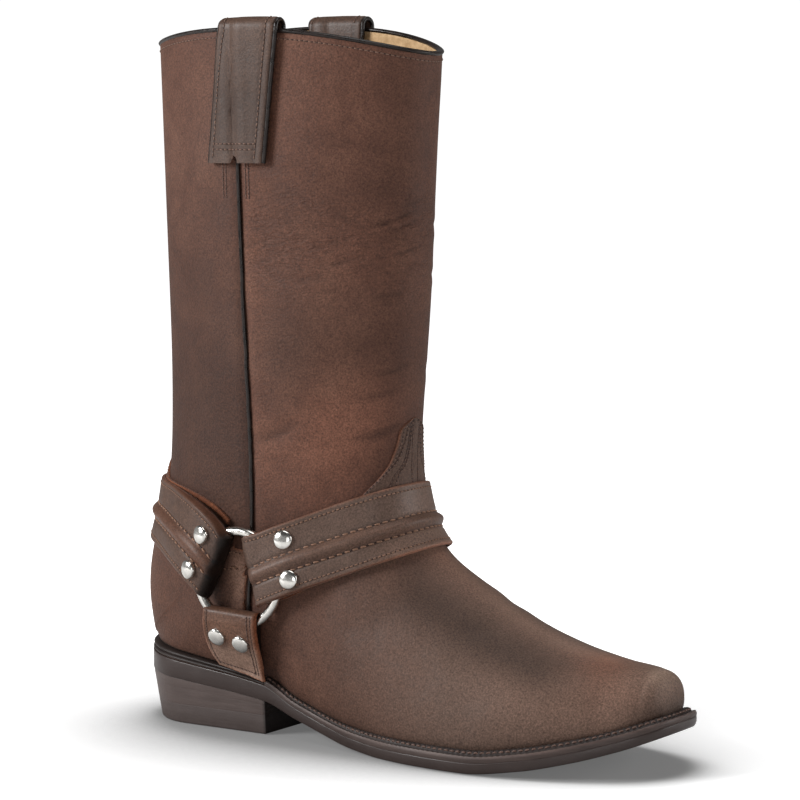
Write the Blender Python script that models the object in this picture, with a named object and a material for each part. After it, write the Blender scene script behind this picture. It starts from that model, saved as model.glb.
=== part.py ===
"""A right western harness boot with a square toe, a straight shaft and a low stacked heel.

Every length is in millimetres until a mesh is made, where MM turns it into metres.
x runs forwards from the back of the sole, y to the wearer's left and z up from the floor.
"""

import math
from collections import namedtuple

import bmesh
import bpy
import numpy as np
from mathutils import Vector
from mathutils.bvhtree import BVHTree

MM = 0.001
GAP = 0.3
RIGHT = -1
LEFT = 1

# Driving dimensions of the sole and heel
SOLE_LENGTH = 304.0
HEEL_LENGTH = 86.5
HEEL_LEAN = 5.0
HEEL_TAPER = 0.05
TOP_LIFT_THICKNESS = 9.7
HEEL_BACK_ROUND = 31.0
TOE_ROUND = 20.0
TOE_SQUARENESS = 2.8
INSOLE_THICKNESS = 4.5
INSOLE_CLEARANCE = 1.0

# Driving dimensions of the upper
WALL = 2.4
FEATHER_RATIO = 0.89
FEATHER_BACK = 3.5
FEATHER_FRONT = 6.8
FEATHER_GAP = 0.6
COLLAR_PEAK = 9.0
BINDING_THICKNESS = 0.8
BINDING_DEPTH = 3.2
OVERLAY_LIFT = 1.25
OVERLAY_THICKNESS = 0.8

# The sole seen from above: half its width and its middle line, from heel to toe
SolePlan = namedtuple("SolePlan", "x half_width middle_y")
SOLE_PLAN = (
    SolePlan(0, 31.5, 0.0),
    SolePlan(40, 33.5, 0.0),
    SolePlan(86, 33.0, -0.5),
    SolePlan(112, 32.5, -3.0),
    SolePlan(150, 40.0, -4.5),
    SolePlan(185, 48.5, -4.0),
    SolePlan(215, 51.5, -2.5),
    SolePlan(245, 47.5, -1.0),
    SolePlan(268, 39.5, 0.8),
    SolePlan(285, 31.5, 2.2),
    SolePlan(304, 22.5, 3.0),
)

# The sole seen from the side: the underside of the outsole, its thickness and that of the welt or rand on it
SoleProfile = namedtuple("SoleProfile", "x under outsole rim")
SOLE_PROFILE = (
    SoleProfile(0, 25.5, 10.0, 5.0),
    SoleProfile(40, 22.2, 9.0, 3.8),
    SoleProfile(86, 17.2, 8.0, 2.7),
    SoleProfile(106, 10.6, 5.6, 2.6),
    SoleProfile(125, 5.2, 5.2, 2.6),
    SoleProfile(145, 1.6, 5.2, 2.9),
    SoleProfile(166, 0.0, 5.2, 3.2),
    SoleProfile(216, 0.0, 5.2, 3.2),
    SoleProfile(242, 3.0, 5.2, 3.2),
    SoleProfile(264, 7.6, 5.2, 3.2),
    SoleProfile(286, 13.9, 5.2, 3.2),
    SoleProfile(304, 20.4, 5.2, 3.2),
)

# Sections of the foot, toe to heel. Each runs from the ridge down to the sole at foot_x, and a ridge_z
# below the sole starts there. spread is the widest half width, crown and tuck the squareness above and
# below it.
FootSection = namedtuple("FootSection", "foot_x ridge_x ridge_z ridge_y spread crown tuck")
FOOT_SECTIONS = (
    FootSection(297.0, 297.0, 0.0, 3.0, 5.0, 2.3, 2.2),
    FootSection(296.3, 296.6, 39.5, 3.0, 12.0, 2.3, 2.2),
    FootSection(294.0, 293.4, 46.0, 3.0, 17.0, 2.3, 2.2),
    FootSection(288.0, 286.5, 48.4, 3.0, 22.0, 2.3, 2.2),
    FootSection(278.0, 275.5, 49.5, 3.0, 28.0, 2.3, 2.2),
    FootSection(264.0, 261.0, 51.2, 3.0, 35.0, 2.25, 2.2),
    FootSection(246.0, 243.0, 54.8, 3.0, 42.0, 2.2, 2.2),
    FootSection(223.0, 222.0, 62.3, 3.0, 46.0, 2.1, 2.2),
    FootSection(198.0, 200.0, 73.7, 3.0, 46.0, 2.05, 2.2),
    FootSection(170.0, 182.0, 84.4, 3.0, 43.5, 2.0, 2.2),
    FootSection(141.0, 169.0, 93.8, 2.5, 40.5, 2.0, 2.2),
    FootSection(111.0, 160.0, 105.3, 1.5, 39.0, 2.05, 2.25),
    FootSection(86.5, 155.6, 116.5, 0.6, 38.5, 2.1, 2.3),
    FootSection(54.0, 153.7, 130.0, 0.0, 38.5, 2.1, 2.4),
    FootSection(26.0, 153.6, 142.5, 0.0, 38.5, 2.1, 2.5),
    FootSection(10.5, 154.0, 152.0, 0.0, 38.6, 2.1, 2.5),
    FootSection(3.5, 154.5, 160.0, 0.0, 38.8, 2.1, 2.5),
)

# Sections of the back of the heel and the shaft, from the sole up to the collar
ShaftSection = namedtuple("ShaftSection", "back_x back_z ridge_x ridge_z ridge_y spread crown tuck")
SHAFT_SECTIONS = (
    ShaftSection(1.6, 51.0, 155.0, 168.0, 0.0, 38.9, 2.1, 2.5),
    ShaftSection(0.2, 65.0, 155.7, 177.5, 0.0, 39.0, 2.1, 2.45),
    ShaftSection(2.2, 83.0, 156.5, 188.5, 0.0, 39.0, 2.1, 2.4),
    ShaftSection(7.2, 103.0, 157.4, 201.0, 0.0, 39.1, 2.1, 2.3),
    ShaftSection(11.0, 126.0, 158.5, 216.0, 0.0, 39.3, 2.1, 2.2),
    ShaftSection(12.0, 153.0, 159.7, 233.0, 0.0, 39.5, 2.1, 2.15),
    ShaftSection(11.4, 187.0, 161.0, 254.0, 0.0, 39.7, 2.1, 2.1),
    ShaftSection(9.9, 228.0, 162.5, 279.0, 0.0, 39.9, 2.1, 2.1),
    ShaftSection(7.9, 280.0, 164.0, 306.0, 0.0, 40.0, 2.1, 2.1),
    ShaftSection(5.2, 344.0, 166.0, 338.0, 0.0, 40.3, 2.1, 2.1),
)

# The front tongue of the vamp: half its width round the shaft, from its base to its peak
TongueRow = namedtuple("TongueRow", "station half_width")
TONGUE_ROWS = (
    TongueRow(11.3, 40.0),
    TongueRow(12.2, 41.0),
    TongueRow(13.0, 40.0),
    TongueRow(13.4, 32.0),
    TongueRow(13.6, 22.5),
    TongueRow(14.0, 15.5),
    TongueRow(14.8, 11.7),
    TongueRow(15.5, 10.0),
    TongueRow(16.05, 1.5),
)

# The heel counter: how far it reaches round each section from the back
CounterRow = namedtuple("CounterRow", "station reach")
COUNTER_FOOT = 3.2
COUNTER_ROWS = (
    CounterRow(12.4, 120.0),
    CounterRow(14.5, 120.0),
    CounterRow(15.0, 88.4),
    CounterRow(15.5, 91.3),
    CounterRow(16.0, 99.6),
    CounterRow(17.0, 97.0),
    CounterRow(18.0, 88.0),
    CounterRow(19.0, 68.0),
    CounterRow(20.0, 42.0),
    CounterRow(21.0, 18.0),
    CounterRow(21.4, 5.0),
)

# The harness: a ring on each side that holds a front, a rear and a lower strap
RING_X = 79.0
RING_Z = 80.0
RING_RADIUS = 23.5
WIRE_RADIUS = 2.2
RING_LIFT = 6.2
RING_POCKET = 0.35
STRAP_LIFT = 2.8
STRAP_THICKNESS = 2.2
STRAP_FOLD = 7.4
FOLD_LIFT = 0.1
BEAD_HEIGHT = 2.2
BEAD_WIDTH = 3.6
RIVET_RADIUS = 4.8
RIVET_HEIGHT = 2.6

# Each long strap seen from the side: a line for either edge, where the fold round the ring cuts it, and how far
# each edge bows up from that line between the ring and the far end
StrapPlan = namedtuple(
    "StrapPlan", "ahead low_x low_z low_slope high_x high_z high_slope thick ramp low_bow high_bow"
)
FRONT_STRAP = StrapPlan(1, 91.0, 66.5, 0.392, 83.2, 101.0, 0.39, 17.5, 14.0, 0.0, 0.0)
REAR_STRAP = StrapPlan(-1, 61.0, 69.0, -0.41, 75.0, 100.0, -0.37, 14.5, 14.0, 6.3, 9.0)
STRAP_COLUMNS = (-1.0, -0.42, -0.2, -0.07, 0.06, 0.28, 1.0)
BEAD_MIDDLE = -0.07
STRAP_HALF_WIDTH = 17.0
STRAP_STATIONS = 23

# The lower strap seen from the side, from its fold to its foot on the rand
LowerRow = namedtuple("LowerRow", "z_back z_front x_back x_front")
LOWER_STRAP = (
    LowerRow(65.5, 64.0, 57.6, 89.0),
    LowerRow(57.0, 56.0, 56.6, 88.6),
    LowerRow(48.0, 47.0, 56.6, 88.6),
    LowerRow(41.0, 37.0, 58.6, 89.2),
    LowerRow(34.0, 28.0, 63.0, 91.0),
)
LOWER_STRAP_TOP_Y = 39.2
LOWER_STRAP_FOOT_Y = 36.0

# Rivet heads seen from the side, on each of the three straps
RIVETS_FRONT = ((107.5, 101.5), (112.0, 82.5))
RIVETS_REAR = ((60.5, 101.0), (51.5, 82.5))
RIVETS_LOWER = ((63.0, 48.5), (79.0, 46.5))

# The side seam with its piping, and the pull strap above it
SeamRow = namedtuple("SeamRow", "x z")
SIDE_SEAM = (
    SeamRow(80.6, 36.0),
    SeamRow(81.4, 66.0),
    SeamRow(83.4, 97.0),
    SeamRow(83.2, 130.0),
    SeamRow(81.0, 190.0),
    SeamRow(78.6, 240.0),
    SeamRow(76.6, 288.0),
)
PIPING_WIDTH = 2.6
PIPING_HEIGHT = 1.7
PULL_BOTTOM_Z = 285.0
PULL_INSIDE_Z = 302.0
PULL_TOP_Z = 350.8
PULL_BOTTOM_X = 77.0
PULL_TOP_X = 84.5
PULL_LIFT = 1.7
PULL_THICKNESS = 2.4
PULL_COLUMNS = (-17.0, -9.0, -3.8, -3.0, 3.0, 3.8, 9.0, 17.0)
PULL_NOTCH = 4.5


def curve_through(knots, values):
    """A smooth curve through the values that never passes beyond two neighbouring ones."""
    knots = np.array(knots, float)
    values = np.array(values, float)
    step = np.diff(knots)
    slope = np.diff(values) / step
    tangent = np.zeros(len(knots))
    tangent[0] = slope[0]
    tangent[-1] = slope[-1]
    for i in range(1, len(knots) - 1):
        if slope[i - 1] * slope[i] > 0:
            tangent[i] = 2 * slope[i - 1] * slope[i] / (slope[i - 1] + slope[i])

    def at(x):
        x = np.clip(np.asarray(x, float), knots[0], knots[-1])
        i = np.clip(np.searchsorted(knots, x, side="right") - 1, 0, len(step) - 1)
        f = (x - knots[i]) / step[i]
        g = 1 - f
        start = g * g * ((1 + 2 * f) * values[i] + f * step[i] * tangent[i])
        end = f * f * ((1 + 2 * g) * values[i + 1] - g * step[i] * tangent[i + 1])
        return start + end

    return at


def spline_through(rows):
    """A smooth curve through the rows of a table, one unit of t for each row."""
    points = np.array(rows, float)
    count = len(points)
    system = np.eye(count)
    for i in range(1, count - 1):
        system[i, i - 1:i + 2] = (1, 4, 1)
    right = np.zeros_like(points)
    right[1:-1] = 6 * (points[2:] - 2 * points[1:-1] + points[:-2])
    bend = np.linalg.solve(system, right)

    def at(t):
        i = min(int(t), count - 2)
        f = t - i
        g = 1 - f
        straight = g * points[i] + f * points[i + 1]
        return straight + ((g**3 - g) * bend[i] + (f**3 - f) * bend[i + 1]) / 6

    return at


side_seam = curve_through([row.z for row in SIDE_SEAM], [row.x for row in SIDE_SEAM])
sole_base_half = curve_through([s.x for s in SOLE_PLAN], [s.half_width for s in SOLE_PLAN])
sole_middle = curve_through([s.x for s in SOLE_PLAN], [s.middle_y for s in SOLE_PLAN])
sole_under = curve_through([s.x for s in SOLE_PROFILE], [s.under for s in SOLE_PROFILE])
outsole_thickness = curve_through([s.x for s in SOLE_PROFILE], [s.outsole for s in SOLE_PROFILE])
rim_thickness = curve_through([s.x for s in SOLE_PROFILE], [s.rim for s in SOLE_PROFILE])


def sole_half(x):
    """Half the outsole's width at x, with its round heel and its square toe."""
    x = np.clip(np.asarray(x, float), 0, SOLE_LENGTH)
    back = np.clip(1 - x / HEEL_BACK_ROUND, 0, 1)
    front = np.clip((x - (SOLE_LENGTH - TOE_ROUND)) / TOE_ROUND, 0, 1)
    heel_end = np.sqrt(np.clip(1 - back**2, 0, 1))
    toe_end = np.clip(1 - front**TOE_SQUARENESS, 0, 1) ** (1 / TOE_SQUARENESS)
    return sole_base_half(x) * heel_end * toe_end


def inset_half(x, back, front, inset):
    """The sole's outline drawn in at both ends and along its sides."""
    place = (np.asarray(x, float) - back) / (SOLE_LENGTH - back - front)
    return np.maximum(FEATHER_RATIO * sole_half(place * SOLE_LENGTH) - inset, 0)


def feather_half(x):
    """Half the width of the line where the upper meets the welt."""
    return inset_half(x, FEATHER_BACK, FEATHER_FRONT, 0)


def spread_out(start, end, count):
    """Places from start to end, closer together towards both."""
    share = (1 - np.cos(np.linspace(0, math.pi, count))) / 2
    return start + share * (end - start)


HEEL_SHARES = np.concatenate([spread_out(0.0006, 0.75, 12), [1.0]])
FORE_PLACES = spread_out(HEEL_LENGTH, SOLE_LENGTH - 0.05, 22)[1:]
SOLE_PLACES = np.concatenate([HEEL_SHARES * HEEL_LENGTH, FORE_PLACES])


def along_sole(heights):
    """The height as straight runs between the sole's places, so that layers there stay parallel."""
    return lambda x: np.interp(x, SOLE_PLACES, heights)


outsole_under = along_sole(sole_under(SOLE_PLACES))
outsole_top = along_sole(sole_under(SOLE_PLACES) + outsole_thickness(SOLE_PLACES))
rim_top = along_sole(outsole_top(SOLE_PLACES) + GAP + rim_thickness(SOLE_PLACES))


def feather_z(x):
    return rim_top(x) + FEATHER_GAP


FOOT_COUNT = len(FOOT_SECTIONS)
LAST_STATION = FOOT_COUNT + len(SHAFT_SECTIONS) - 1
foot_curve = spline_through([[s.foot_x] for s in FOOT_SECTIONS])
back_curve = spline_through(
    [[FOOT_SECTIONS[-1].foot_x, float(feather_z(FOOT_SECTIONS[-1].foot_x))]]
    + [[s.back_x, s.back_z] for s in SHAFT_SECTIONS]
)
ridge_curve = spline_through(
    [
        [s.ridge_x, max(s.ridge_z, float(feather_z(s.foot_x))), s.ridge_y, s.spread, s.crown, s.tuck]
        for s in FOOT_SECTIONS
    ]
    + [[s.ridge_x, s.ridge_z, s.ridge_y, s.spread, s.crown, s.tuck] for s in SHAFT_SECTIONS]
)


def power(value, exponent):
    return np.sign(value) * np.abs(value) ** exponent


def lengths_along(points):
    return np.concatenate([[0], np.cumsum(np.linalg.norm(np.diff(points, axis=0), axis=1))])


def at_lengths(points, wanted):
    """The places at the wanted distances along the polyline through points."""
    lengths = lengths_along(points)
    return np.stack([np.interp(wanted, lengths, points[:, k]) for k in range(3)], axis=1)


def half_section(station, side):
    """One side of a section of the upper's outside, from the ridge down to the sole or the back."""
    ridge_x, ridge_z, ridge_y, spread, crown, tuck = ridge_curve(station)
    if station <= FOOT_COUNT - 1:
        foot_x = float(foot_curve(station)[0])
        foot_z = float(feather_z(foot_x))
        foot_half = float(feather_half(foot_x))
    else:
        foot_x, foot_z = back_curve(station - (FOOT_COUNT - 1))
        foot_half = 0.0
    spread = max(spread, foot_half)
    end = math.pi - math.asin(min(1.0, (foot_half / spread) ** (tuck / 2)))
    angle = np.linspace(0, 1, 160) * end
    shape = np.where(angle < math.pi / 2, crown, tuck)
    along = power(np.cos(angle), 2 / shape)
    share = (1 - along) / (1 - along[-1])
    half = spread * np.abs(np.sin(angle)) ** (2 / shape)
    half[0] = 0.0
    half[-1] = foot_half
    rise = max(0.0, (station - (LAST_STATION - 3)) / 3) ** 2
    x = ridge_x + share * (foot_x - ridge_x)
    y = ridge_y + share * (float(sole_middle(foot_x)) - ridge_y) + side * half
    z = ridge_z + share * (foot_z - ridge_z) + COLLAR_PEAK * rise * np.sin(angle) ** 2
    return np.stack([x, y, z], axis=1)


def whole_section(station, half_count):
    """A section from the right of the sole over the ridge to the left, in points evenly spaced."""
    sides = []
    for side in (RIGHT, LEFT):
        line = half_section(station, side)
        sides.append(at_lengths(line, np.linspace(0, lengths_along(line)[-1], half_count + 1)))
    return np.concatenate([sides[0][::-1], sides[1][1:]])


def upper_rows(stations, half_count):
    """The grid of the upper's outside, row by row from the toe to the collar."""
    return np.array([whole_section(station, half_count) for station in stations])


def grid_normals(grid, closed_from):
    """Outward normals of the upper's grid, level along the sole and closed from row closed_from on."""
    face = np.cross(grid[1:, 1:] - grid[:-1, :-1], grid[1:, :-1] - grid[:-1, 1:])
    normal = np.zeros_like(grid)
    for rows in (slice(None, -1), slice(1, None)):
        for columns in (slice(None, -1), slice(1, None)):
            normal[rows, columns] += face
    normal[closed_from:, 0] += normal[closed_from:, -1]
    normal[closed_from:, -1] = normal[closed_from:, 0]
    rim = np.concatenate([grid[closed_from:0:-1, 0], grid[0], grid[1:closed_from + 1, -1]])
    along = np.gradient(rim, axis=0)
    flat = np.stack([along[:, 1], -along[:, 0], np.zeros(len(rim))], axis=1)
    normal[closed_from:0:-1, 0] = flat[:closed_from]
    normal[0] = flat[closed_from:-closed_from]
    normal[1:closed_from + 1, -1] = flat[-closed_from:]
    return normal / np.linalg.norm(normal, axis=2, keepdims=True)


def quads(row_count, column_count):
    faces = []
    for i in range(row_count - 1):
        for j in range(column_count - 1):
            a = i * column_count + j
            faces.append((a, a + 1, a + 1 + column_count, a + column_count))
    return faces


FINE_ROWS = upper_rows(np.arange(0, LAST_STATION + 0.1, 1 / 6), 40)
SKIN = BVHTree.FromPolygons(
    [Vector(p) for p in FINE_ROWS.reshape(-1, 3)], quads(FINE_ROWS.shape[0], FINE_ROWS.shape[1])
)


def on_side(x, z, side):
    """The place and the normal of the upper's skin met from the side at x and z."""
    place, normal, _, _ = SKIN.ray_cast(Vector((x, side * 300, z)), Vector((0, -side, 0)))
    return np.array(place), np.array(normal)


def skin_normal(point):
    return np.array(SKIN.find_nearest(Vector(point))[1])


def new_material(name, colour, roughness, metallic=0.0):
    material = bpy.data.materials.new(name)
    material.use_nodes = True
    shader = material.node_tree.nodes["Principled BSDF"]
    shader.inputs["Base Color"].default_value = (*colour, 1.0)
    shader.inputs["Roughness"].default_value = roughness
    shader.inputs["Metallic"].default_value = metallic
    return material


def new_object(name, points, faces, material, crease=40):
    mesh = bpy.data.meshes.new(name)
    mesh.from_pydata([tuple(float(c) * MM for c in p) for p in points], [], faces)
    editor = bmesh.new()
    editor.from_mesh(mesh)
    bmesh.ops.remove_doubles(editor, verts=editor.verts, dist=0.01 * MM)
    bmesh.ops.dissolve_degenerate(editor, edges=editor.edges, dist=0.001 * MM)
    bmesh.ops.recalc_face_normals(editor, faces=editor.faces)
    editor.to_mesh(mesh)
    editor.free()
    mesh.shade_smooth()
    mesh.set_sharp_from_angle(angle=math.radians(crease))
    mesh.materials.append(material)
    made = bpy.data.objects.new(name, mesh)
    bpy.context.scene.collection.objects.link(made)
    return made


def sheet(name, outer, inner, faces, material):
    """A closed solid between two sheets with the same faces, walled along every open edge."""
    outer = np.asarray(outer, float).reshape(-1, 3)
    inner = np.asarray(inner, float).reshape(-1, 3)
    first = {}
    same = [first.setdefault(tuple(np.round(p, 3)), i) for i, p in enumerate(outer)]
    welded = []
    for face in faces:
        corners = list(dict.fromkeys(same[i] for i in face))
        if len(corners) == 4:
            a, b, c, d = outer[corners]
            turn = 0 if np.linalg.norm(a - c) < np.linalg.norm(b - d) else 1
            corners = corners[turn:] + corners[:turn]
            welded += [corners[:3], [corners[2], corners[3], corners[0]]]
        elif len(corners) == 3:
            welded.append(corners)
    used = set()
    for face in welded:
        used.update(zip(face, face[1:] + face[:1]))
    count = len(outer)
    solid = [tuple(face) for face in welded]
    solid += [tuple(i + count for i in face[::-1]) for face in welded]
    solid += [(b, a, a + count, b + count) for a, b in sorted(used) if (b, a) not in used]
    return new_object(name, np.concatenate([outer, inner]), solid, material)


def strip(name, sections, material, closed=False):
    """A solid swept through sections that have the same number of corners."""
    sections = np.asarray(sections, float)
    rows, corners = sections.shape[:2]
    faces = []
    for i in range(rows if closed else rows - 1):
        a = i * corners
        b = (i + 1) % rows * corners
        for k in range(corners):
            n = (k + 1) % corners
            faces.append((a + k, a + n, b + n, b + k))
    if not closed:
        faces.append(tuple(range(corners)))
        faces.append(tuple(range((rows - 1) * corners, rows * corners)))
    return new_object(name, sections.reshape(-1, 3), faces, material)


UPPER_STATIONS = np.concatenate([[0, 1, 2], np.arange(3, 20, 0.5), np.arange(20, LAST_STATION + 1)])
UPPER_CLOSED_FROM = int(np.sum(UPPER_STATIONS < FOOT_COUNT - 1))
UPPER_HALF_COUNT = 11


def make_upper(material):
    grid = upper_rows(UPPER_STATIONS, UPPER_HALF_COUNT)
    inside = grid - WALL * grid_normals(grid, UPPER_CLOSED_FROM)
    return sheet("upper", grid, inside, quads(*grid.shape[:2]), material)


def plate(name, top, bottom, material):
    """A solid between two outlines, each a list of places along the sole with a half width and a height."""
    sections = []
    for (x, half, z), (low_x, low_half, low_z) in zip(top, bottom):
        y = float(sole_middle(x))
        upper = [(x, y - half, z), (x, y + half, z)]
        lower = [(low_x, y + low_half, low_z), (low_x, y - low_half, low_z)]
        sections.append(upper + lower)
    return strip(name, sections, material)


def make_outsole(material):
    top = [(x, float(sole_half(x)), float(outsole_top(x))) for x in SOLE_PLACES]
    bottom = [(x, float(sole_half(x)), float(outsole_under(x))) for x in SOLE_PLACES]
    return plate("outsole", top, bottom, material)


def make_insole(material):
    inset = WALL + INSOLE_CLEARANCE
    back = FEATHER_BACK + inset
    front = FEATHER_FRONT + inset + 1.5
    ends = (back + 0.3, SOLE_LENGTH - front - 0.3)
    places = [ends[0], *SOLE_PLACES[(SOLE_PLACES > ends[0]) & (SOLE_PLACES < ends[1])], ends[1]]
    half = [float(inset_half(x, back, front, inset * 0.9)) for x in places]
    top = [(x, h, float(outsole_top(x)) + GAP + INSOLE_THICKNESS) for x, h in zip(places, half)]
    bottom = [(x, h, float(outsole_top(x)) + GAP) for x, h in zip(places, half)]
    return plate("insole", top, bottom, material)


def heel_outline(share, z):
    """The heel's outline at height z, drawn in towards the floor."""
    down = 1 - z / SOLE_PROFILE[0].under
    x = HEEL_LEAN * down + share * (HEEL_LENGTH - HEEL_LEAN * down)
    return x, float(sole_half(share * HEEL_LENGTH)) * (1 - HEEL_TAPER * down)


def make_heel(stack_material, lift_material):
    seat = []
    stack_foot = []
    lift_top = []
    floor = []
    for share in HEEL_SHARES:
        seat_x = share * HEEL_LENGTH
        seat.append((seat_x, float(sole_half(seat_x)) - 0.2, float(outsole_under(seat_x)) - GAP))
        stack_foot.append((*heel_outline(share, TOP_LIFT_THICKNESS + GAP), TOP_LIFT_THICKNESS + GAP))
        lift_top.append((*heel_outline(share, TOP_LIFT_THICKNESS), TOP_LIFT_THICKNESS))
        floor.append((*heel_outline(share, 0), 0.0))
    plate("heel_stack", seat, stack_foot, stack_material)
    plate("heel_top_lift", lift_top, floor, lift_material)


def make_rim(name, places, inner_end, flush, material):
    """A strip on the outsole's edge, from the first place on the right round to the left."""
    inset = WALL + 0.5
    back = FEATHER_BACK + inset
    front = FEATHER_FRONT + inset
    round_trip = [(RIGHT, x) for x in places[:-1]] + [(0, places[-1])] + [(LEFT, x) for x in places[-2::-1]]
    sections = []
    for side, outer_x in round_trip:
        share = (outer_x - places[0]) / (places[-1] - places[0])
        inner_x = outer_x - share**3 * (places[-1] - inner_end)
        outer_y = float(sole_middle(outer_x)) + side * (float(sole_half(outer_x)) - flush)
        inner_y = float(sole_middle(inner_x)) + side * float(inset_half(inner_x, back, front, inset * 0.9))
        sections.append([
            (outer_x, outer_y, float(outsole_top(outer_x)) + GAP),
            (outer_x, outer_y, float(rim_top(outer_x))),
            (inner_x, inner_y, float(rim_top(inner_x))),
            (inner_x, inner_y, float(outsole_top(inner_x)) + GAP),
        ])
    return strip(name, sections, material)


def make_rims(material):
    """The welt round the forefoot and the rand round the heel, which the upper stands on."""
    toe = SOLE_LENGTH - FEATHER_FRONT - WALL - 0.5
    heel = FEATHER_BACK + WALL + 0.5
    heel_places = SOLE_PLACES[SOLE_PLACES <= HEEL_LENGTH]
    welt_places = [HEEL_LENGTH + 0.5, *SOLE_PLACES[SOLE_PLACES > HEEL_LENGTH]]
    make_rim("welt", welt_places, toe, 0.3, material)
    make_rim("heel_rand", heel_places[::-1], heel, 0.0, material)


def make_binding(material):
    grid = upper_rows(UPPER_STATIONS, UPPER_HALF_COUNT)
    normals = grid_normals(grid, UPPER_CLOSED_FROM)
    rim = grid[-1][:-1]
    normal = normals[-1][:-1]
    upward = grid[-1] - grid[-2]
    upward = (upward / np.linalg.norm(upward, axis=1, keepdims=True))[:-1]
    outside = GAP + BINDING_THICKNESS
    profile = (
        (GAP, -BINDING_DEPTH),
        (GAP, GAP),
        (-WALL - GAP, GAP),
        (-WALL - GAP, -BINDING_DEPTH),
        (-WALL - outside, -BINDING_DEPTH),
        (-WALL - outside, outside),
        (outside, outside),
        (outside, -BINDING_DEPTH),
    )
    sections = np.stack([rim + normal * out + upward * up for out, up in profile], axis=1)
    return strip("collar_binding", sections, material, closed=True)


def overlay(name, lines, faces, material):
    """A thin leather piece over the upper, from lines of places on its skin."""
    lower = []
    upper = []
    for line in lines:
        for point in line:
            normal = skin_normal(point)
            for layer, lift in ((lower, OVERLAY_LIFT), (upper, OVERLAY_LIFT + OVERLAY_THICKNESS)):
                place = point + normal * lift
                place[2] = max(place[2], float(rim_top(place[0])) + 2 * GAP)
                layer.append(place)
    return sheet(name, upper, lower, faces, material)


def make_tongue(material):
    columns = np.linspace(0, 1, 6)
    lines = []
    for row in TONGUE_ROWS:
        right = at_lengths(half_section(row.station, RIGHT), columns * row.half_width)
        left = at_lengths(half_section(row.station, LEFT), columns * row.half_width)
        lines.append(np.concatenate([right[::-1], left[1:]]))
    return overlay("vamp_tongue", lines, quads(len(lines), 11), material)


def make_counter(material):
    """The counter, which ends in front at the side seam."""
    columns = np.linspace(0, 1, 8) ** 1.3
    reach = curve_through([row.station for row in COUNTER_ROWS], [row.reach for row in COUNTER_ROWS])
    stations = [12.4, 12.7, *np.arange(13, 17.1, 0.5), 18, 19, 20, 21, 21.4]
    lines = []
    for station in stations:
        foot = COUNTER_FOOT if station <= FOOT_COUNT - 1 else 0.0
        sides = []
        for side in (RIGHT, LEFT):
            line = half_section(station, side)
            lengths = lengths_along(line)
            behind = line[:, 0] < side_seam(line[:, 2]) - PIPING_WIDTH / 2 - 0.8
            room = lengths[-1] - foot - lengths[behind][0]
            wanted = lengths[-1] - foot - columns * min(float(reach(station)), room)
            sides.append(at_lengths(line, wanted))
        lines.append(np.concatenate([sides[0][::-1], sides[1]]))
    count = 2 * len(columns)
    open_rows = sum(station < FOOT_COUNT - 1 for station in stations)
    faces = []
    for face in quads(len(lines), count):
        row, column = divmod(face[0], count)
        if column != len(columns) - 1 or row >= open_rows:
            faces.append(face)
    return overlay("heel_counter", lines, faces, material)


def ring_place(side):
    place, normal = on_side(RING_X, RING_Z, side)
    return place + normal * RING_LIFT, normal


def torus(name, middle, axis, tube, material):
    first = np.cross(axis, (0, 0, 1))
    first = first / np.linalg.norm(first)
    second = np.cross(axis, first)
    sections = []
    for turn in np.linspace(0, 2 * math.pi, 28, endpoint=False):
        out = first * math.cos(turn) + second * math.sin(turn)
        section = []
        for roll in np.linspace(0, 2 * math.pi, 6, endpoint=False):
            rise = axis * tube * math.sin(roll)
            section.append(middle + out * (RING_RADIUS + tube * math.cos(roll)) + rise)
        sections.append(section)
    return strip(name, sections, material, closed=True)


def make_rings(material):
    """Both rings, and for each a slightly fatter one that cuts its way through the straps."""
    cutters = {}
    for side, word in ((RIGHT, "right"), (LEFT, "left")):
        middle, axis = ring_place(side)
        torus("ring_" + word, middle, axis, WIRE_RADIUS, material)
        cutter = torus("ring_pocket_" + word, middle, axis, WIRE_RADIUS + RING_POCKET, material)
        cutter.hide_render = True
        cutter.display_type = "WIRE"
        cutters[side] = cutter
    return cutters


def cut_pocket(strap, cutter):
    pocket = strap.modifiers.new("ring pocket", "BOOLEAN")
    pocket.operation = "DIFFERENCE"
    pocket.solver = "EXACT"
    pocket.object = cutter


def walk_out(plan, share, turn):
    """The skin point a strap line reaches when it leaves the boot's middle at the plan angle turn."""
    start_x = plan.low_x + share * (plan.high_x - plan.low_x)
    start_z = plan.low_z + share * (plan.high_z - plan.low_z)
    slope = plan.low_slope + share * (plan.high_slope - plan.low_slope)
    sideways = abs(turn) / (math.pi / 2)
    bow = plan.low_bow + share * (plan.high_bow - plan.low_bow)
    start_z += bow * 6.75 * sideways**2 * (1 - sideways)
    forwards = plan.ahead * math.cos(turn)
    heading = Vector((forwards, math.sin(turn), slope * forwards)).normalized()
    place, normal, _, _ = SKIN.ray_cast(Vector((start_x, 0, start_z)), heading)
    return np.array(place), np.array(normal)


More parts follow.
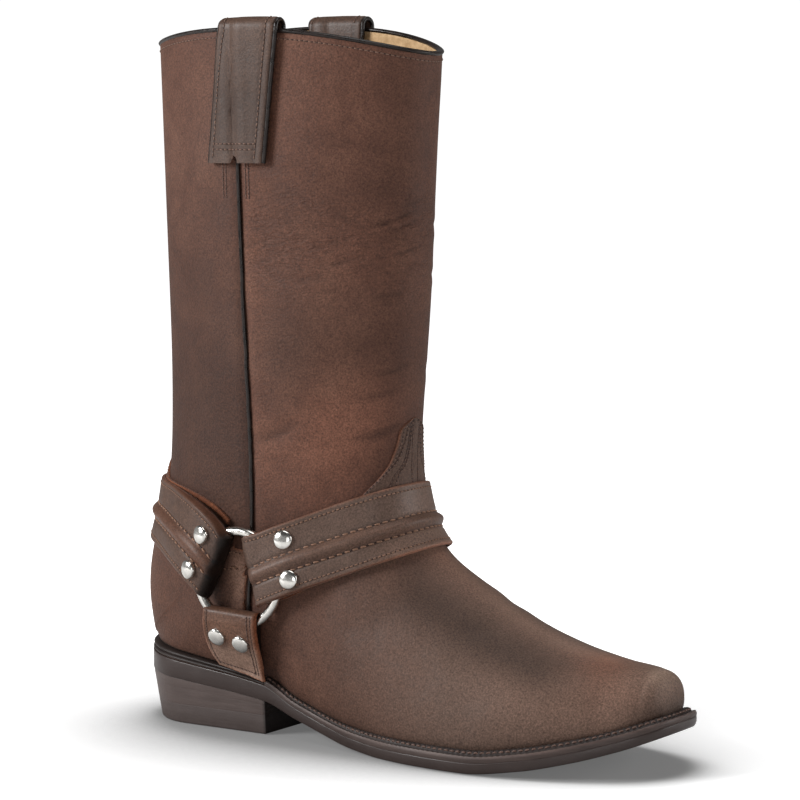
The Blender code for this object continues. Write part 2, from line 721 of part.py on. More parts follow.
def make_long_strap(name, plan, material, cutters):
    turns = np.radians(np.linspace(-90, 90, 181))
    middle = np.array([walk_out(plan, 0.5, turn)[0] for turn in turns])
    lengths = lengths_along(middle)
    places = np.linspace(0, lengths[-1], STRAP_STATIONS)
    outer = []
    inner = []
    for place, turn in zip(places, np.interp(places, lengths, turns)):
        from_fold = min(place, lengths[-1] - place)
        folded = 1 - min(max((from_fold - plan.thick) / plan.ramp, 0), 1)
        folded = folded * folded * (3 - 2 * folded)
        for column in STRAP_COLUMNS:
            point, normal = walk_out(plan, (column + 1) / 2, turn)
            across = (column - BEAD_MIDDLE) * STRAP_HALF_WIDTH / BEAD_WIDTH
            flat = STRAP_THICKNESS + BEAD_HEIGHT * math.exp(-across * across)
            thickness = flat + folded * (STRAP_FOLD - flat)
            lift = STRAP_LIFT + folded * FOLD_LIFT
            inner.append(point + normal * lift)
            outer.append(point + normal * (lift + thickness))
    strap = sheet(name, outer, inner, quads(STRAP_STATIONS, len(STRAP_COLUMNS)), material)
    for cutter in cutters.values():
        cut_pocket(strap, cutter)
    return strap


def make_lower_strap(name, side, material, cutter):
    outer = []
    inner = []
    top_z = LOWER_STRAP[0].z_back
    foot_z = LOWER_STRAP[-1].z_front
    for row in LOWER_STRAP:
        for share in np.linspace(0, 1, 5):
            x = row.x_back + share * (row.x_front - row.x_back)
            z = row.z_back + share * (row.z_front - row.z_back)
            hang = (top_z - z) / (top_z - foot_z)
            clear = LOWER_STRAP_TOP_Y + hang * (LOWER_STRAP_FOOT_Y - LOWER_STRAP_TOP_Y)
            place, _ = on_side(x, max(z, 40.0), side)
            y = max(clear, abs(place[1]) + 2.6)
            thickness = STRAP_FOLD + hang * (STRAP_THICKNESS - STRAP_FOLD)
            inner.append((x, side * y, z))
            outer.append((x, side * (y + thickness), z))
    strap = sheet(name, outer, inner, quads(len(LOWER_STRAP), 5), material)
    cut_pocket(strap, cutter)
    return strap


def make_rivets(word, side, spots, strap, material):
    """Domed heads that stand just off the strap they fasten."""
    tree = BVHTree.FromObject(strap, bpy.context.evaluated_depsgraph_get())
    for number, (x, z) in enumerate(spots, 1):
        place, normal, _, _ = tree.ray_cast(Vector((x, side * 300, z)) * MM, Vector((0, -side, 0)))
        axis = np.array(normal)
        first = np.cross(axis, (0, 0, 1))
        first = first / np.linalg.norm(first)
        second = np.cross(axis, first)
        base = np.array(place) / MM + axis * 0.5
        sections = []
        for turn in np.linspace(0, 2 * math.pi, 10, endpoint=False):
            out = (first * math.cos(turn) + second * math.sin(turn)) * RIVET_RADIUS
            sections.append([
                base,
                base + out,
                base + out * 0.96 + axis * RIVET_HEIGHT * 0.35,
                base + out * 0.62 + axis * RIVET_HEIGHT * 0.84,
                base + axis * RIVET_HEIGHT,
            ])
        strip("rivet_%s_%d" % (word, number), sections, material, closed=True)


def make_piping(name, side, material):
    sections = []
    for z in np.linspace(SIDE_SEAM[0].z, SIDE_SEAM[-1].z, 22):
        section = []
        for across, lift in ((-0.5, 0), (-0.36, 0.7), (0, 1), (0.36, 0.7), (0.5, 0)):
            place, normal = on_side(float(side_seam(z)) + across * PIPING_WIDTH, z, side)
            section.append(place + normal * (GAP + 0.1 + lift * PIPING_HEIGHT))
        sections.append(section)
    return strip(name, sections, material)


def pull_place(column, z, side):
    """A place on the skin under the pull strap, which stands square to the shaft's side."""
    share = (z - PULL_BOTTOM_Z) / (PULL_TOP_Z - PULL_BOTTOM_Z)
    x = PULL_BOTTOM_X + share * (PULL_TOP_X - PULL_BOTTOM_X) + column
    place, normal = on_side(x, min(z, 343.0), side)
    place[2] = z
    normal[2] = 0
    return place, normal / np.linalg.norm(normal)


def make_pull_strap(name, side, material):
    outer = []
    inner = []
    for column in PULL_COLUMNS:
        notch = PULL_NOTCH if abs(column) < 3.5 else 0.0
        for z in np.linspace(PULL_BOTTOM_Z + notch, PULL_TOP_Z, 4):
            place, normal = pull_place(column, z, side)
            inner.append(place + normal * PULL_LIFT)
            outer.append(place + normal * (PULL_LIFT + PULL_THICKNESS))
        place, normal = pull_place(column, PULL_TOP_Z, side)
        middle = place - normal * WALL / 2
        for turn in np.radians((45, 90, 135)):
            heading = normal * math.cos(turn) + np.array((0, 0, math.sin(turn)))
            inner.append(middle + heading * (WALL / 2 + PULL_LIFT))
            outer.append(middle + heading * (WALL / 2 + PULL_LIFT + PULL_THICKNESS))
        for z in np.linspace(PULL_TOP_Z, PULL_INSIDE_Z, 3):
            place, normal = pull_place(column, z, side)
            inner.append(place - normal * (WALL + PULL_LIFT))
            outer.append(place - normal * (WALL + PULL_LIFT + PULL_THICKNESS))
    return sheet(name, outer, inner, quads(len(PULL_COLUMNS), 10), material)


def centre_on_floor():
    """Moves the boot so that its box stands on the origin, with the floor at the bottom of the sole."""
    solids = [item for item in bpy.data.objects if not item.hide_render]
    corners = np.array([vertex.co for item in solids for vertex in item.data.vertices])
    middle = (corners.min(axis=0) + corners.max(axis=0)) / 2
    for item in bpy.data.objects:
        for vertex in item.data.vertices:
            vertex.co.x -= middle[0]
            vertex.co.y -= middle[1]


def main():
    for old in list(bpy.data.objects):
        bpy.data.objects.remove(old)
    leather = new_material("brown_leather", (0.13, 0.07, 0.045), 0.6)
    strap_leather = new_material("strap_leather", (0.11, 0.065, 0.045), 0.5)
    piping_leather = new_material("dark_piping_leather", (0.02, 0.014, 0.012), 0.3)
    sole_leather = new_material("dark_sole_leather", (0.06, 0.04, 0.035), 0.45)
    lining_leather = new_material("tan_lining_leather", (0.5, 0.34, 0.18), 0.8)
    lift_rubber = new_material("heel_rubber", (0.055, 0.04, 0.036), 0.55)
    nickel = new_material("nickel", (0.75, 0.73, 0.7), 0.2, 1.0)
    make_upper(leather)
    make_outsole(sole_leather)
    make_insole(lining_leather)
    make_heel(sole_leather, lift_rubber)
    make_rims(sole_leather)
    make_binding(piping_leather)
    make_tongue(leather)
    make_counter(leather)
    cutters = make_rings(nickel)
    front = make_long_strap("front_strap", FRONT_STRAP, strap_leather, cutters)
    rear = make_long_strap("rear_strap", REAR_STRAP, strap_leather, cutters)
    for side, word in ((RIGHT, "right"), (LEFT, "left")):
        lower = make_lower_strap("lower_strap_" + word, side, strap_leather, cutters[side])
        make_rivets("front_" + word, side, RIVETS_FRONT, front, nickel)
        make_rivets("rear_" + word, side, RIVETS_REAR, rear, nickel)
        make_rivets("lower_" + word, side, RIVETS_LOWER, lower, nickel)
        make_piping("side_piping_" + word, side, piping_leather)
        make_pull_strap("pull_strap_" + word, side, strap_leather)
    centre_on_floor()


main()
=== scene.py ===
import math

import bmesh
import bpy
import numpy as np
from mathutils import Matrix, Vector
from mathutils.bvhtree import BVHTree


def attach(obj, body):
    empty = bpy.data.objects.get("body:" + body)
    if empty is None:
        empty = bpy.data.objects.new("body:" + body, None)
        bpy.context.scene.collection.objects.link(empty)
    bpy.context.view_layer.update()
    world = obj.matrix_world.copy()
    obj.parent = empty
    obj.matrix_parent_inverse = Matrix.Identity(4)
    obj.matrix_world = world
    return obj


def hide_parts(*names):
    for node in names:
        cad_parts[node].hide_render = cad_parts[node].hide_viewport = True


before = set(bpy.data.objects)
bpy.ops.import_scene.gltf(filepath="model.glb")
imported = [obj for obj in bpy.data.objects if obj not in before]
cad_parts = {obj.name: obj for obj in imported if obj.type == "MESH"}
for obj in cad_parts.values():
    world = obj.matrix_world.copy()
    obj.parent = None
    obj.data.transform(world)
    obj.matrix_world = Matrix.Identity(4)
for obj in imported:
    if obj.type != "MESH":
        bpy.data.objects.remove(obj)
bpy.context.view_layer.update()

# The upper: oiled, brushed brown leather, cut as vamp and as front and rear shaft panels, sewn at the side seams,
# lined with tan leather, pulled over the last and stitched to the welt. Lengths are in millimetres from the back
# of the sole, as on the pattern, and piece() turns them into the model's metres.
LAST_ORIGIN = np.array([151.051, -1.094, 0.0])
SOLE_LENGTH = 304.0
WALL = 2.4
RIGHT, LEFT = -1, 1
# how far the upper stands in from the sole's back and front end, and above the welt
UPPER_BACK, UPPER_FRONT, UPPER_GAP = 3.5, 6.8, 0.4
# rounding of the sole's outline at the heel and at the toe's corners, and how square the toe is
HEEL_ROUND, TOE_ROUND, TOE_SQUARE = 31.0, 20, 2.8
# width of the upper's foot as a share of the sole's, and the layer of glue on the outsole
FEATHER_SHARE, GLUE = 0.89, 0.3
# how far the collar rises from the front to each side
COLLAR_RISE = {RIGHT: 9.0, LEFT: 12.0}
# place along the sole, half width, middle line
SOLE_PLAN = np.array([
    (0, 31.5, 0.0), (40, 33.5, 0.0), (86, 33.0, -0.5), (112, 32.5, -3.0), (150, 40.0, -4.5), (185, 48.5, -4.0),
    (215, 51.5, -2.5), (245, 47.5, -1.0), (268, 39.5, 0.8), (285, 31.5, 2.2), (304, 22.5, 3.0)])
# place along the sole, underside, outsole thickness, thickness of the welt or rand
SOLE_PROFILE = np.array([
    (0, 25.5, 10.0, 5.0), (40, 22.2, 9.0, 3.8), (86, 17.2, 8.0, 2.7), (106, 10.6, 5.6, 2.6), (125, 5.2, 5.2, 2.6),
    (145, 1.6, 5.2, 2.9), (166, 0.0, 5.2, 3.2), (216, 0.0, 5.2, 3.2), (242, 3.0, 5.2, 3.2), (264, 7.6, 5.2, 3.2),
    (286, 13.9, 5.2, 3.2), (304, 20.4, 5.2, 3.2)])
# where the section meets the sole, ridge place, height and side, widest half width, squareness above and below
FOOT_SECTIONS = [
    (297.0, 297.0, 0.0, 3.0, 5.0, 2.3, 2.2), (296.3, 296.6, 39.5, 3.0, 12.0, 2.3, 2.2),
    (294.0, 293.4, 46.0, 3.0, 17.0, 2.3, 2.2), (288.0, 286.5, 48.4, 3.0, 22.0, 2.3, 2.2),
    (278.0, 275.5, 49.5, 3.0, 28.0, 2.3, 2.2), (264.0, 261.0, 51.2, 3.0, 35.0, 2.25, 2.2),
    (246.0, 243.0, 54.8, 3.0, 42.0, 2.2, 2.2), (223.0, 222.0, 62.3, 3.0, 46.0, 2.1, 2.2),
    (198.0, 200.0, 73.7, 3.0, 46.0, 2.05, 2.2), (170.0, 182.0, 84.4, 3.0, 43.5, 2.0, 2.2),
    (141.0, 169.0, 93.8, 2.5, 40.5, 2.0, 2.2), (111.0, 160.0, 105.3, 1.5, 39.0, 2.05, 2.25),
    (86.5, 155.6, 116.5, 0.6, 38.5, 2.1, 2.3), (54.0, 153.7, 130.0, 0.0, 38.5, 2.1, 2.4),
    (26.0, 153.6, 142.5, 0.0, 38.5, 2.1, 2.5), (10.5, 154.0, 152.0, 0.0, 38.6, 2.1, 2.5),
    (3.5, 154.5, 160.0, 0.0, 38.8, 2.1, 2.5)]
# back place and height, ridge place, height and side, widest half width, squareness above and below
SHAFT_SECTIONS = [
    (1.6, 51.0, 155.0, 168.0, 0.0, 38.9, 2.1, 2.5), (0.2, 65.0, 155.7, 177.5, 0.0, 39.0, 2.1, 2.45),
    (2.2, 83.0, 156.5, 188.5, 0.0, 39.0, 2.1, 2.4), (7.2, 103.0, 157.4, 201.0, 0.0, 39.1, 2.1, 2.3),
    (11.0, 126.0, 158.5, 216.0, 0.0, 39.3, 2.1, 2.2), (12.0, 153.0, 159.7, 233.0, 0.0, 39.5, 2.1, 2.15),
    (11.4, 187.0, 161.0, 254.0, 0.0, 39.7, 2.1, 2.1), (9.9, 228.0, 162.5, 279.0, 0.0, 39.9, 2.1, 2.1),
    (7.9, 280.0, 164.0, 306.0, 0.0, 40.0, 2.1, 2.1), (5.2, 344.0, 166.0, 338.0, 0.0, 40.3, 2.1, 2.1)]
# height and place of the side seam
SIDE_SEAM = np.array([
    (36, 80.6), (66, 81.4), (97, 83.4), (130, 83.2), (190, 81.0), (240, 78.6), (288, 76.6), (345, 74.6)])


def eased_line(knots, values):
    """A smooth line through the values that never swings past two neighbours."""
    knots = np.asarray(knots, float)
    values = np.asarray(values, float)
    step = np.diff(knots)
    slope = np.diff(values) / step
    tangent = np.concatenate([slope[:1], np.zeros(len(knots) - 2), slope[-1:]])
    for i in range(1, len(knots) - 1):
        if slope[i - 1] * slope[i] > 0:
            tangent[i] = 2 * slope[i - 1] * slope[i] / (slope[i - 1] + slope[i])

    def at(x):
        x = np.clip(np.asarray(x, float), knots[0], knots[-1])
        i = np.clip(np.searchsorted(knots, x, side="right") - 1, 0, len(step) - 1)
        f = (x - knots[i]) / step[i]
        g = 1 - f
        return (g * g * ((1 + 2 * f) * values[i] + f * step[i] * tangent[i])
                + f * f * ((1 + 2 * g) * values[i + 1] - g * step[i] * tangent[i + 1]))

    return at


def fair_line(rows):
    """A springy line through the rows, one unit for each."""
    points = np.array(rows, float)
    count = len(points)
    ties = np.eye(count)
    for i in range(1, count - 1):
        ties[i, i - 1:i + 2] = (1, 4, 1)
    pull = np.zeros_like(points)
    pull[1:-1] = 6 * (points[2:] - 2 * points[1:-1] + points[:-2])
    bend = np.linalg.solve(ties, pull)

    def at(t):
        i = min(int(t), count - 2)
        f = t - i
        g = 1 - f
        return g * points[i] + f * points[i + 1] + ((g**3 - g) * bend[i] + (f**3 - f) * bend[i + 1]) / 6

    return at


seam_place = eased_line(*SIDE_SEAM.T)
plain_half, sole_middle = [eased_line(SOLE_PLAN[:, 0], column) for column in SOLE_PLAN.T[1:]]
sole_under, outsole_thickness, rim_thickness = [
    eased_line(SOLE_PROFILE[:, 0], column) for column in SOLE_PROFILE.T[1:]]


def sole_half(x):
    """Half the sole's width, rounded off at the heel and squared off at the toe."""
    x = np.clip(np.asarray(x, float), 0, SOLE_LENGTH)
    back = np.clip(1 - x / HEEL_ROUND, 0, 1)
    front = np.clip((x - SOLE_LENGTH + TOE_ROUND) / TOE_ROUND, 0, 1)
    at_toe = np.clip(1 - front**TOE_SQUARE, 0, 1) ** (1 / TOE_SQUARE)
    return plain_half(x) * np.sqrt(np.clip(1 - back**2, 0, 1)) * at_toe


def inset_half(x, back, front, inset):
    """Half the width of an outline that stands in from the sole's edge."""
    place = (np.asarray(x, float) - back) / (SOLE_LENGTH - back - front)
    return np.maximum(FEATHER_SHARE * sole_half(place * SOLE_LENGTH) - inset, 0)


def outsole_top(x):
    return sole_under(x) + outsole_thickness(x)


def rim_top(x):
    return outsole_top(x) + GLUE + rim_thickness(x)


def upper_foot(x):
    return float(rim_top(x)) + UPPER_GAP


FOOT_COUNT = len(FOOT_SECTIONS)
LAST_STATION = FOOT_COUNT + len(SHAFT_SECTIONS) - 1
foot_line = fair_line([[s[0]] for s in FOOT_SECTIONS])
back_line = fair_line([[UPPER_BACK, upper_foot(UPPER_BACK)]] + [s[:2] for s in SHAFT_SECTIONS])
ridge_line = fair_line([[s[1], max(s[2], upper_foot(s[0])), *s[3:]] for s in FOOT_SECTIONS]
                       + [s[2:] for s in SHAFT_SECTIONS])


def half_section(station, side):
    """One side of a section of the last, from the ridge down to the sole or the back seam."""
    ridge_x, ridge_z, ridge_y, spread, crown, tuck = ridge_line(station)
    if station <= FOOT_COUNT - 1:
        foot_x = float(foot_line(station)[0])
        foot_z = upper_foot(foot_x)
        foot_half = float(inset_half(foot_x, UPPER_BACK, UPPER_FRONT, 0))
    else:
        foot_x, foot_z = back_line(station - (FOOT_COUNT - 1))
        foot_half = 0.0
    spread = max(spread, foot_half)
    end = math.pi - math.asin(min(1.0, (foot_half / spread) ** (tuck / 2)))
    angle = np.linspace(0, 1, 200) * end
    shape = np.where(angle < math.pi / 2, crown, tuck)
    along = np.sign(np.cos(angle)) * np.abs(np.cos(angle)) ** (2 / shape)
    share = (1 - along) / (1 - along[-1])
    half = spread * np.abs(np.sin(angle)) ** (2 / shape)
    half[0] = 0.0
    half[-1] = foot_half
    near_rim = max(0.0, (station - (LAST_STATION - 3)) / 3) ** 2
    x = ridge_x + share * (foot_x - ridge_x)
    y = ridge_y + share * (float(sole_middle(foot_x)) - ridge_y) + side * half
    z = ridge_z + share * (foot_z - ridge_z) + COLLAR_RISE[side] * near_rim * np.sin(angle) ** 2
    return np.stack([x, y, z], axis=1)


def run_of(points):
    """The distance walked to each point of a line."""
    return np.concatenate([[0], np.cumsum(np.linalg.norm(np.diff(points, axis=0), axis=1))])


def picked(walked, values, wanted):
    """The rows of values that lie at the wanted distances."""
    return np.stack([np.interp(wanted, walked, values[:, k]) for k in range(values.shape[1])], axis=1)


def along_line(points, wanted):
    return picked(run_of(points), points, wanted)


def last_grid(stations, half_count):
    """Sections from the right of the sole over the ridge to the left, toe to collar."""
    rows = []
    for station in stations:
        lines = [half_section(station, side) for side in (RIGHT, LEFT)]
        right, left = [along_line(line, np.linspace(0, run_of(line)[-1], half_count + 1)) for line in lines]
        rows.append(np.concatenate([right[::-1], left[1:]]))
    return np.array(rows)


def unit(vectors):
    return vectors / np.maximum(np.linalg.norm(vectors, axis=-1, keepdims=True), 1e-9)


def grid_normals(grid):
    face = np.cross(grid[1:, 1:] - grid[:-1, :-1], grid[1:, :-1] - grid[:-1, 1:])
    normal = np.zeros_like(grid)
    for rows in (slice(None, -1), slice(1, None)):
        for columns in (slice(None, -1), slice(1, None)):
            normal[rows, columns] += face
    return unit(normal)


def grid_faces(rows, columns, wrap_rows=False, wrap_columns=False):
    i, j = np.meshgrid(np.arange(rows if wrap_rows else rows - 1),
                       np.arange(columns if wrap_columns else columns - 1), indexing="ij")
    after_i = (i + 1) % rows
    after_j = (j + 1) % columns
    corners = [i * columns + j, i * columns + after_j, after_i * columns + after_j, after_i * columns + j]
    return np.stack(corners, axis=-1).reshape(-1, 4).tolist()


def surface_of(grid):
    """The surface of a grid, for finding where other pieces land on it."""
    return BVHTree.FromPolygons([Vector(p) for p in grid.reshape(-1, 3).tolist()], grid_faces(*grid.shape[:2]))


def piece(name, points, faces, finishes, which=None, marks=None, crease=None, slot="brown_leather", stands_for=()):
    """One closed piece of the boot, welded, turned outwards, given its finishes and fixed to the boot."""
    points = np.asarray(points, float).reshape(-1, 3)
    _, first, same = np.unique(points.round(3), axis=0, return_index=True, return_inverse=True)
    same = same.reshape(-1).tolist()
    kept = []
    kinds = []
    for k, face in enumerate(faces):
        corners = list(dict.fromkeys(same[i] for i in face))
        if len(corners) > 2:
            kept.append(corners)
            kinds.append(0 if which is None else int(which[k]))
    mesh = bpy.data.meshes.new(name)
    mesh.from_pydata(((points[first] - LAST_ORIGIN) * 0.001).tolist(), [], kept)
    for finish in finishes:
        mesh.materials.append(finish)
    mesh.polygons.foreach_set("material_index", kinds)
    for mark, values in (marks or {}).items():
        layer = mesh.attributes.new(mark, "FLOAT", "POINT")
        layer.data.foreach_set("value", np.asarray(values, np.float32).reshape(-1)[first])
    editor = bmesh.new()
    editor.from_mesh(mesh)
    bmesh.ops.recalc_face_normals(editor, faces=editor.faces)
    editor.to_mesh(mesh)
    editor.free()
    mesh.shade_smooth()
    if crease:
        mesh.set_sharp_from_angle(angle=math.radians(crease))
    made = bpy.data.objects.new(name, mesh)
    bpy.context.scene.collection.objects.link(made)
    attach(made, "root")
    if stands_for:
        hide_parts(*stands_for)


def thick_sheet(name, outer, inner, faces, finishes, marks=None, inside=0, edge=0, **settings):
    """A closed piece between two grids with the same faces, walled along every open edge."""
    outer = np.asarray(outer, float).reshape(-1, 3)
    inner = np.asarray(inner, float).reshape(-1, 3)
    count = len(outer)
    same = np.unique(outer.round(3), axis=0, return_inverse=True)[1].reshape(-1).tolist()
    once = {}
    for face in faces:
        for a, b in zip(face, face[1:] + face[:1]):
            if same[a] != same[b]:
                once[same[a], same[b]] = (a, b)
    walls = [(b, a, a + count, b + count) for (p, q), (a, b) in once.items() if (q, p) not in once]
    solid = faces + [[i + count for i in face[::-1]] for face in faces] + walls
    which = [0] * len(faces) + [inside] * len(faces) + [edge] * len(walls)
    both = {mark: np.concatenate([np.ravel(v), np.ravel(v)]) for mark, v in (marks or {}).items()}
    piece(name, np.concatenate([outer, inner]), solid, finishes, which, both, **settings)


def wire(tree, node, wires):
    """Links sockets to a node's inputs and sets the plain values."""
    for key, value in wires.items():
        if isinstance(value, bpy.types.NodeSocket):
            tree.links.new(value, node.inputs[key])
        else:
            node.inputs[key].default_value = value


def add_node(tree, kind, wires=None, **settings):
    made = tree.nodes.new("ShaderNode" + kind)
    for key, value in settings.items():
        setattr(made, key, value)
    wire(tree, made, wires or {})
    return made


def ramp_of(tree, value, stops):
    ramp = add_node(tree, "ValToRGB", {"Fac": value})
    for element, (place, colour) in zip(ramp.color_ramp.elements, (stops[0], stops[-1])):
        element.position = place
        element.color = (*colour, 1)
    for place, colour in stops[1:-1]:
        ramp.color_ramp.elements.new(place).color = (*colour, 1)
    return ramp.outputs["Color"]


def noise_of(tree, where, scale, detail=2.0, roughness=0.5, distortion=0.0):
    wires = {"Vector": where, "Scale": scale, "Detail": detail, "Roughness": roughness, "Distortion": distortion}
    return add_node(tree, "TexNoise", wires).outputs["Fac"]


def ranged(tree, value, low, high, to_low, to_high):
    wires = {"Value": value, "From Min": low, "From Max": high, "To Min": to_low, "To Max": to_high}
    return add_node(tree, "MapRange", wires).outputs["Result"]


def halfway(tree, share, first, second):
    return add_node(tree, "Mix", {0: share, 2: first, 3: second}).outputs[0]


def times(tree, first, second):
    return add_node(tree, "Math", {0: first, 1: second}, operation="MULTIPLY").outputs[0]


def blended(tree, share, first, second, way="MIX"):
    wires = {0: share, 6: first, 7: second}
    return add_node(tree, "Mix", wires, data_type="RGBA", blend_type=way).outputs[2]


def tinted(tree, colour, strength):
    return blended(tree, 1.0, colour, strength, "MULTIPLY")


def squeezed(tree, where, scale):
    return add_node(tree, "Mapping", {"Vector": where, "Scale": (1.0, 1.0, scale)}).outputs["Vector"]


def bump_of(tree, height, strength, distance, over=None):
    wires = {"Height": height, "Strength": strength, "Distance": distance}
    if over:
        wires["Normal"] = over
    return add_node(tree, "Bump", wires).outputs["Normal"]


def mark_of(tree, name):
    return add_node(tree, "Attribute", attribute_name=name).outputs["Fac"]


def new_finish(name):
    finish = bpy.data.materials.new(name)
    finish.use_nodes = True
    tree = finish.node_tree
    where = add_node(tree, "TexCoord").outputs["Object"]
    return finish, tree, tree.nodes["Principled BSDF"], where


RUST_COLOUR = (0.20, 0.062, 0.026, 1)
# the scuff colour is partly a real scuff at the toe and partly painted light: a painted highlight on the toe,
# painted light inside the ring and painted sheen on the lower straps
SCUFF_AND_LIGHT_COLOUR = (0.46, 0.33, 0.25, 1)


def leather(name, deep, middle, pale, cool, rough, sheen, coat=0.0, cloud_scale=10.0, grain=0.3, shine=0.2):
    """Oiled leather: cloudy colour that pulls up paler, fine pores, painted shade and light on its fine folds, and
    darker or paler where it is marked.
    """
    finish, tree, shader, where = new_finish(name)
    cloud = noise_of(tree, where, cloud_scale, 3.0, 0.6, 0.6)
    mottle = noise_of(tree, where, cloud_scale * 5, 6.0, 0.68, 0.5)
    speck = noise_of(tree, where, 1150.0, 3.0, 0.65)
    folds = noise_of(tree, squeezed(tree, where, 3.0), 150.0, 3.0, 0.55, 1.6)
    wrinkle = mark_of(tree, "wrinkle")
    colour = ramp_of(tree, halfway(tree, 0.5, cloud, mottle), [(0.35, deep), (0.5, middle), (0.65, pale)])
    for mark, paint in (("cool", (*cool, 1)), ("rust", RUST_COLOUR), ("scuff_and_painted_light", SCUFF_AND_LIGHT_COLOUR)):
        colour = blended(tree, mark_of(tree, mark), colour, paint)
    colour = tinted(tree, colour, ranged(tree, mark_of(tree, "shade"), 0.0, 1.0, 1.0, 0.06))
    # the fine folds tint the colour darker in their troughs and paler on their ridges: painted shade and light on
    # the wrinkles
    fold_shaded = tinted(tree, colour, ranged(tree, folds, 0.36, 0.64, 0.88, 1.12))
    colour = blended(tree, wrinkle, colour, fold_shaded)
    colour = tinted(tree, colour, ranged(tree, mark_of(tree, "pale"), 0.0, 1.0, 1.0, 2.0))
    colour = tinted(tree, colour, ranged(tree, speck, 0.3, 0.7, 0.52, 1.48))
    pores = add_node(tree, "TexVoronoi", {"Vector": where, "Scale": 620.0}).outputs["Distance"]
    raised = bump_of(tree, times(tree, folds, wrinkle), 0.7, 0.0014)
    raised = bump_of(tree, mottle, 0.25, 0.0012, raised)
    raised = bump_of(tree, pores, grain, 0.0004, raised)
    raised = bump_of(tree, speck, grain, 0.0005, raised)
    wire(tree, shader, {
        "Base Color": colour, "Roughness": ranged(tree, mottle, 0.3, 0.7, rough - 0.08, rough + 0.1),
        "Specular IOR Level": shine, "Coat Weight": coat, "Coat Roughness": 0.3, "Sheen Weight": sheen,
        "Sheen Roughness": 0.45, "Sheen Tint": (1.0, 0.86, 0.78, 1), "Normal": raised})
    return finish


brown_leather = leather("brushed_brown_leather", (0.052, 0.0205, 0.0125), (0.077, 0.0325, 0.0205),
                        (0.106, 0.049, 0.032), (0.1, 0.062, 0.046), rough=0.62, sheen=0.03)
lining, tree, shader, where = new_finish("tan_lining_leather")
fibre = noise_of(tree, where, 320.0, 5.0, 0.7)
wire(tree, shader, {"Base Color": ramp_of(tree, fibre, [(0.3, (0.34, 0.2, 0.09)), (0.7, (0.62, 0.43, 0.24))]),
                    "Roughness": 0.9, "Normal": bump_of(tree, fibre, 0.6, 0.0006)})

# sections are closer together up the front of the shaft, where the narrow creases are
stations = np.concatenate([np.arange(0, 16, 1 / 8), np.arange(16, 20, 1 / 10), np.linspace(20, LAST_STATION, 121)])
HALF_COUNT = 78
skin = last_grid(stations, HALF_COUNT)
skin_out = grid_normals(skin)
closed = stations >= FOOT_COUNT - 1
skin_out[closed, 0] = skin_out[closed, -1] = unit(skin_out[closed, 0] + skin_out[closed, -1])
px, py, pz = skin[..., 0], skin[..., 1], skin[..., 2]
girth = np.array([run_of(row) for row in skin])
from_back = np.minimum(girth, girth[:, -1:] - girth)
girth = girth - girth[:, HALF_COUNT:HALF_COUNT + 1]

# creases on the shaft: girth from the front ridge and height at both ends, sag of the middle, depth, width
SHAFT_CREASES = [
    (-4, 265, -34, 254, 1.5, 0.8, 1.5), (-3, 260, -27, 251, 1.0, 0.7, 1.4), (-2, 269, -18, 264, 0.8, 0.6, 1.3),
    (-4, 246, -22, 241, 1.2, 0.5, 1.4), (-30, 242, -66, 236, 2.0, 0.4, 1.8), (-48, 233, -86, 228, 1.5, 0.35, 2.0),
    (-84, 249, -112, 245, 1.0, 0.35, 1.4), (-6, 225, -34, 221, 2.0, 0.35, 1.6),
    (-3, 190, -30, 182, 2.0, 0.4, 2.4), (-10, 176, -46, 172, 2.5, 0.4, 3.0), (-6, 160, -40, 152, 3.0, 0.5, 3.4),
    (8, 258, 42, 248, 2.0, 0.5, 2.2), (6, 233, 40, 228, 1.5, 0.4, 2.0), (10, 186, 50, 176, 2.5, 0.45, 3.0),
    (20, 160, 62, 150, 3.0, 0.5, 3.4), (-70, 160, -104, 150, 3.0, 0.4, 4.0), (60, 230, 98, 222, 2.0, 0.35, 3.0)]
# creases on the foot: place and girth from the ridge at both ends, sag, depth, width
FOOT_CREASES = [
    (196, -34, 214, -8, 3.0, 0.5, 4.0), (206, 10, 190, 38, 3.0, 0.5, 4.0), (226, -30, 236, 6, 2.5, 0.35, 4.5),
    (150, -56, 172, -36, 3.0, 0.45, 4.5), (150, 56, 172, 36, 3.0, 0.45, 4.5), (132, -70, 150, -62, 2.0, 0.5, 4.0)]
# paler and darker patches on the front of the shaft: strength, height and its spread, girth and its spread
PALE_PATCHES = [(0.6, 138, 26, -60, 34), (0.85, 158, 24, -42, 24), (0.3, 243, 20, -40, 26),
                (0.4, 166, 15, -24, 16)]
DARK_PATCHES = [(0.15, 194, 22, -80, 20), (0.2, 132, 16, -14, 16)]


def bell(value, centre, spread):
    return np.exp(-((value - centre) / spread) ** 2)


def fade(value, start, end):
    """Rises from 0 at start to 1 at end."""
    return np.clip((value - start) / (end - start), 0, 1)


def trough(across, up, crease):
    """How deep a soft crease is at each spot, with the leather pushed up a little on both sides."""
    a0, u0, a1, u1, sag, depth, width = crease
    nearest = np.full(across.shape, 1e9)
    share = np.zeros(across.shape)
    for t in np.linspace(0, 1, 15):
        spot_a = a0 + t * (a1 - a0)
        spot_u = u0 + t * (u1 - u0) - sag * 4 * t * (1 - t)
        far = np.hypot(across - spot_a, up - spot_u)
        share = np.where(far < nearest, t, share)
        nearest = np.minimum(far, nearest)
    strength = np.sin(math.pi * np.clip(share, 0.03, 0.97)) ** 0.7
    return -depth * strength * (bell(nearest, 0, width) - 0.45 * bell(nearest, 2 * width, 1.2 * width))


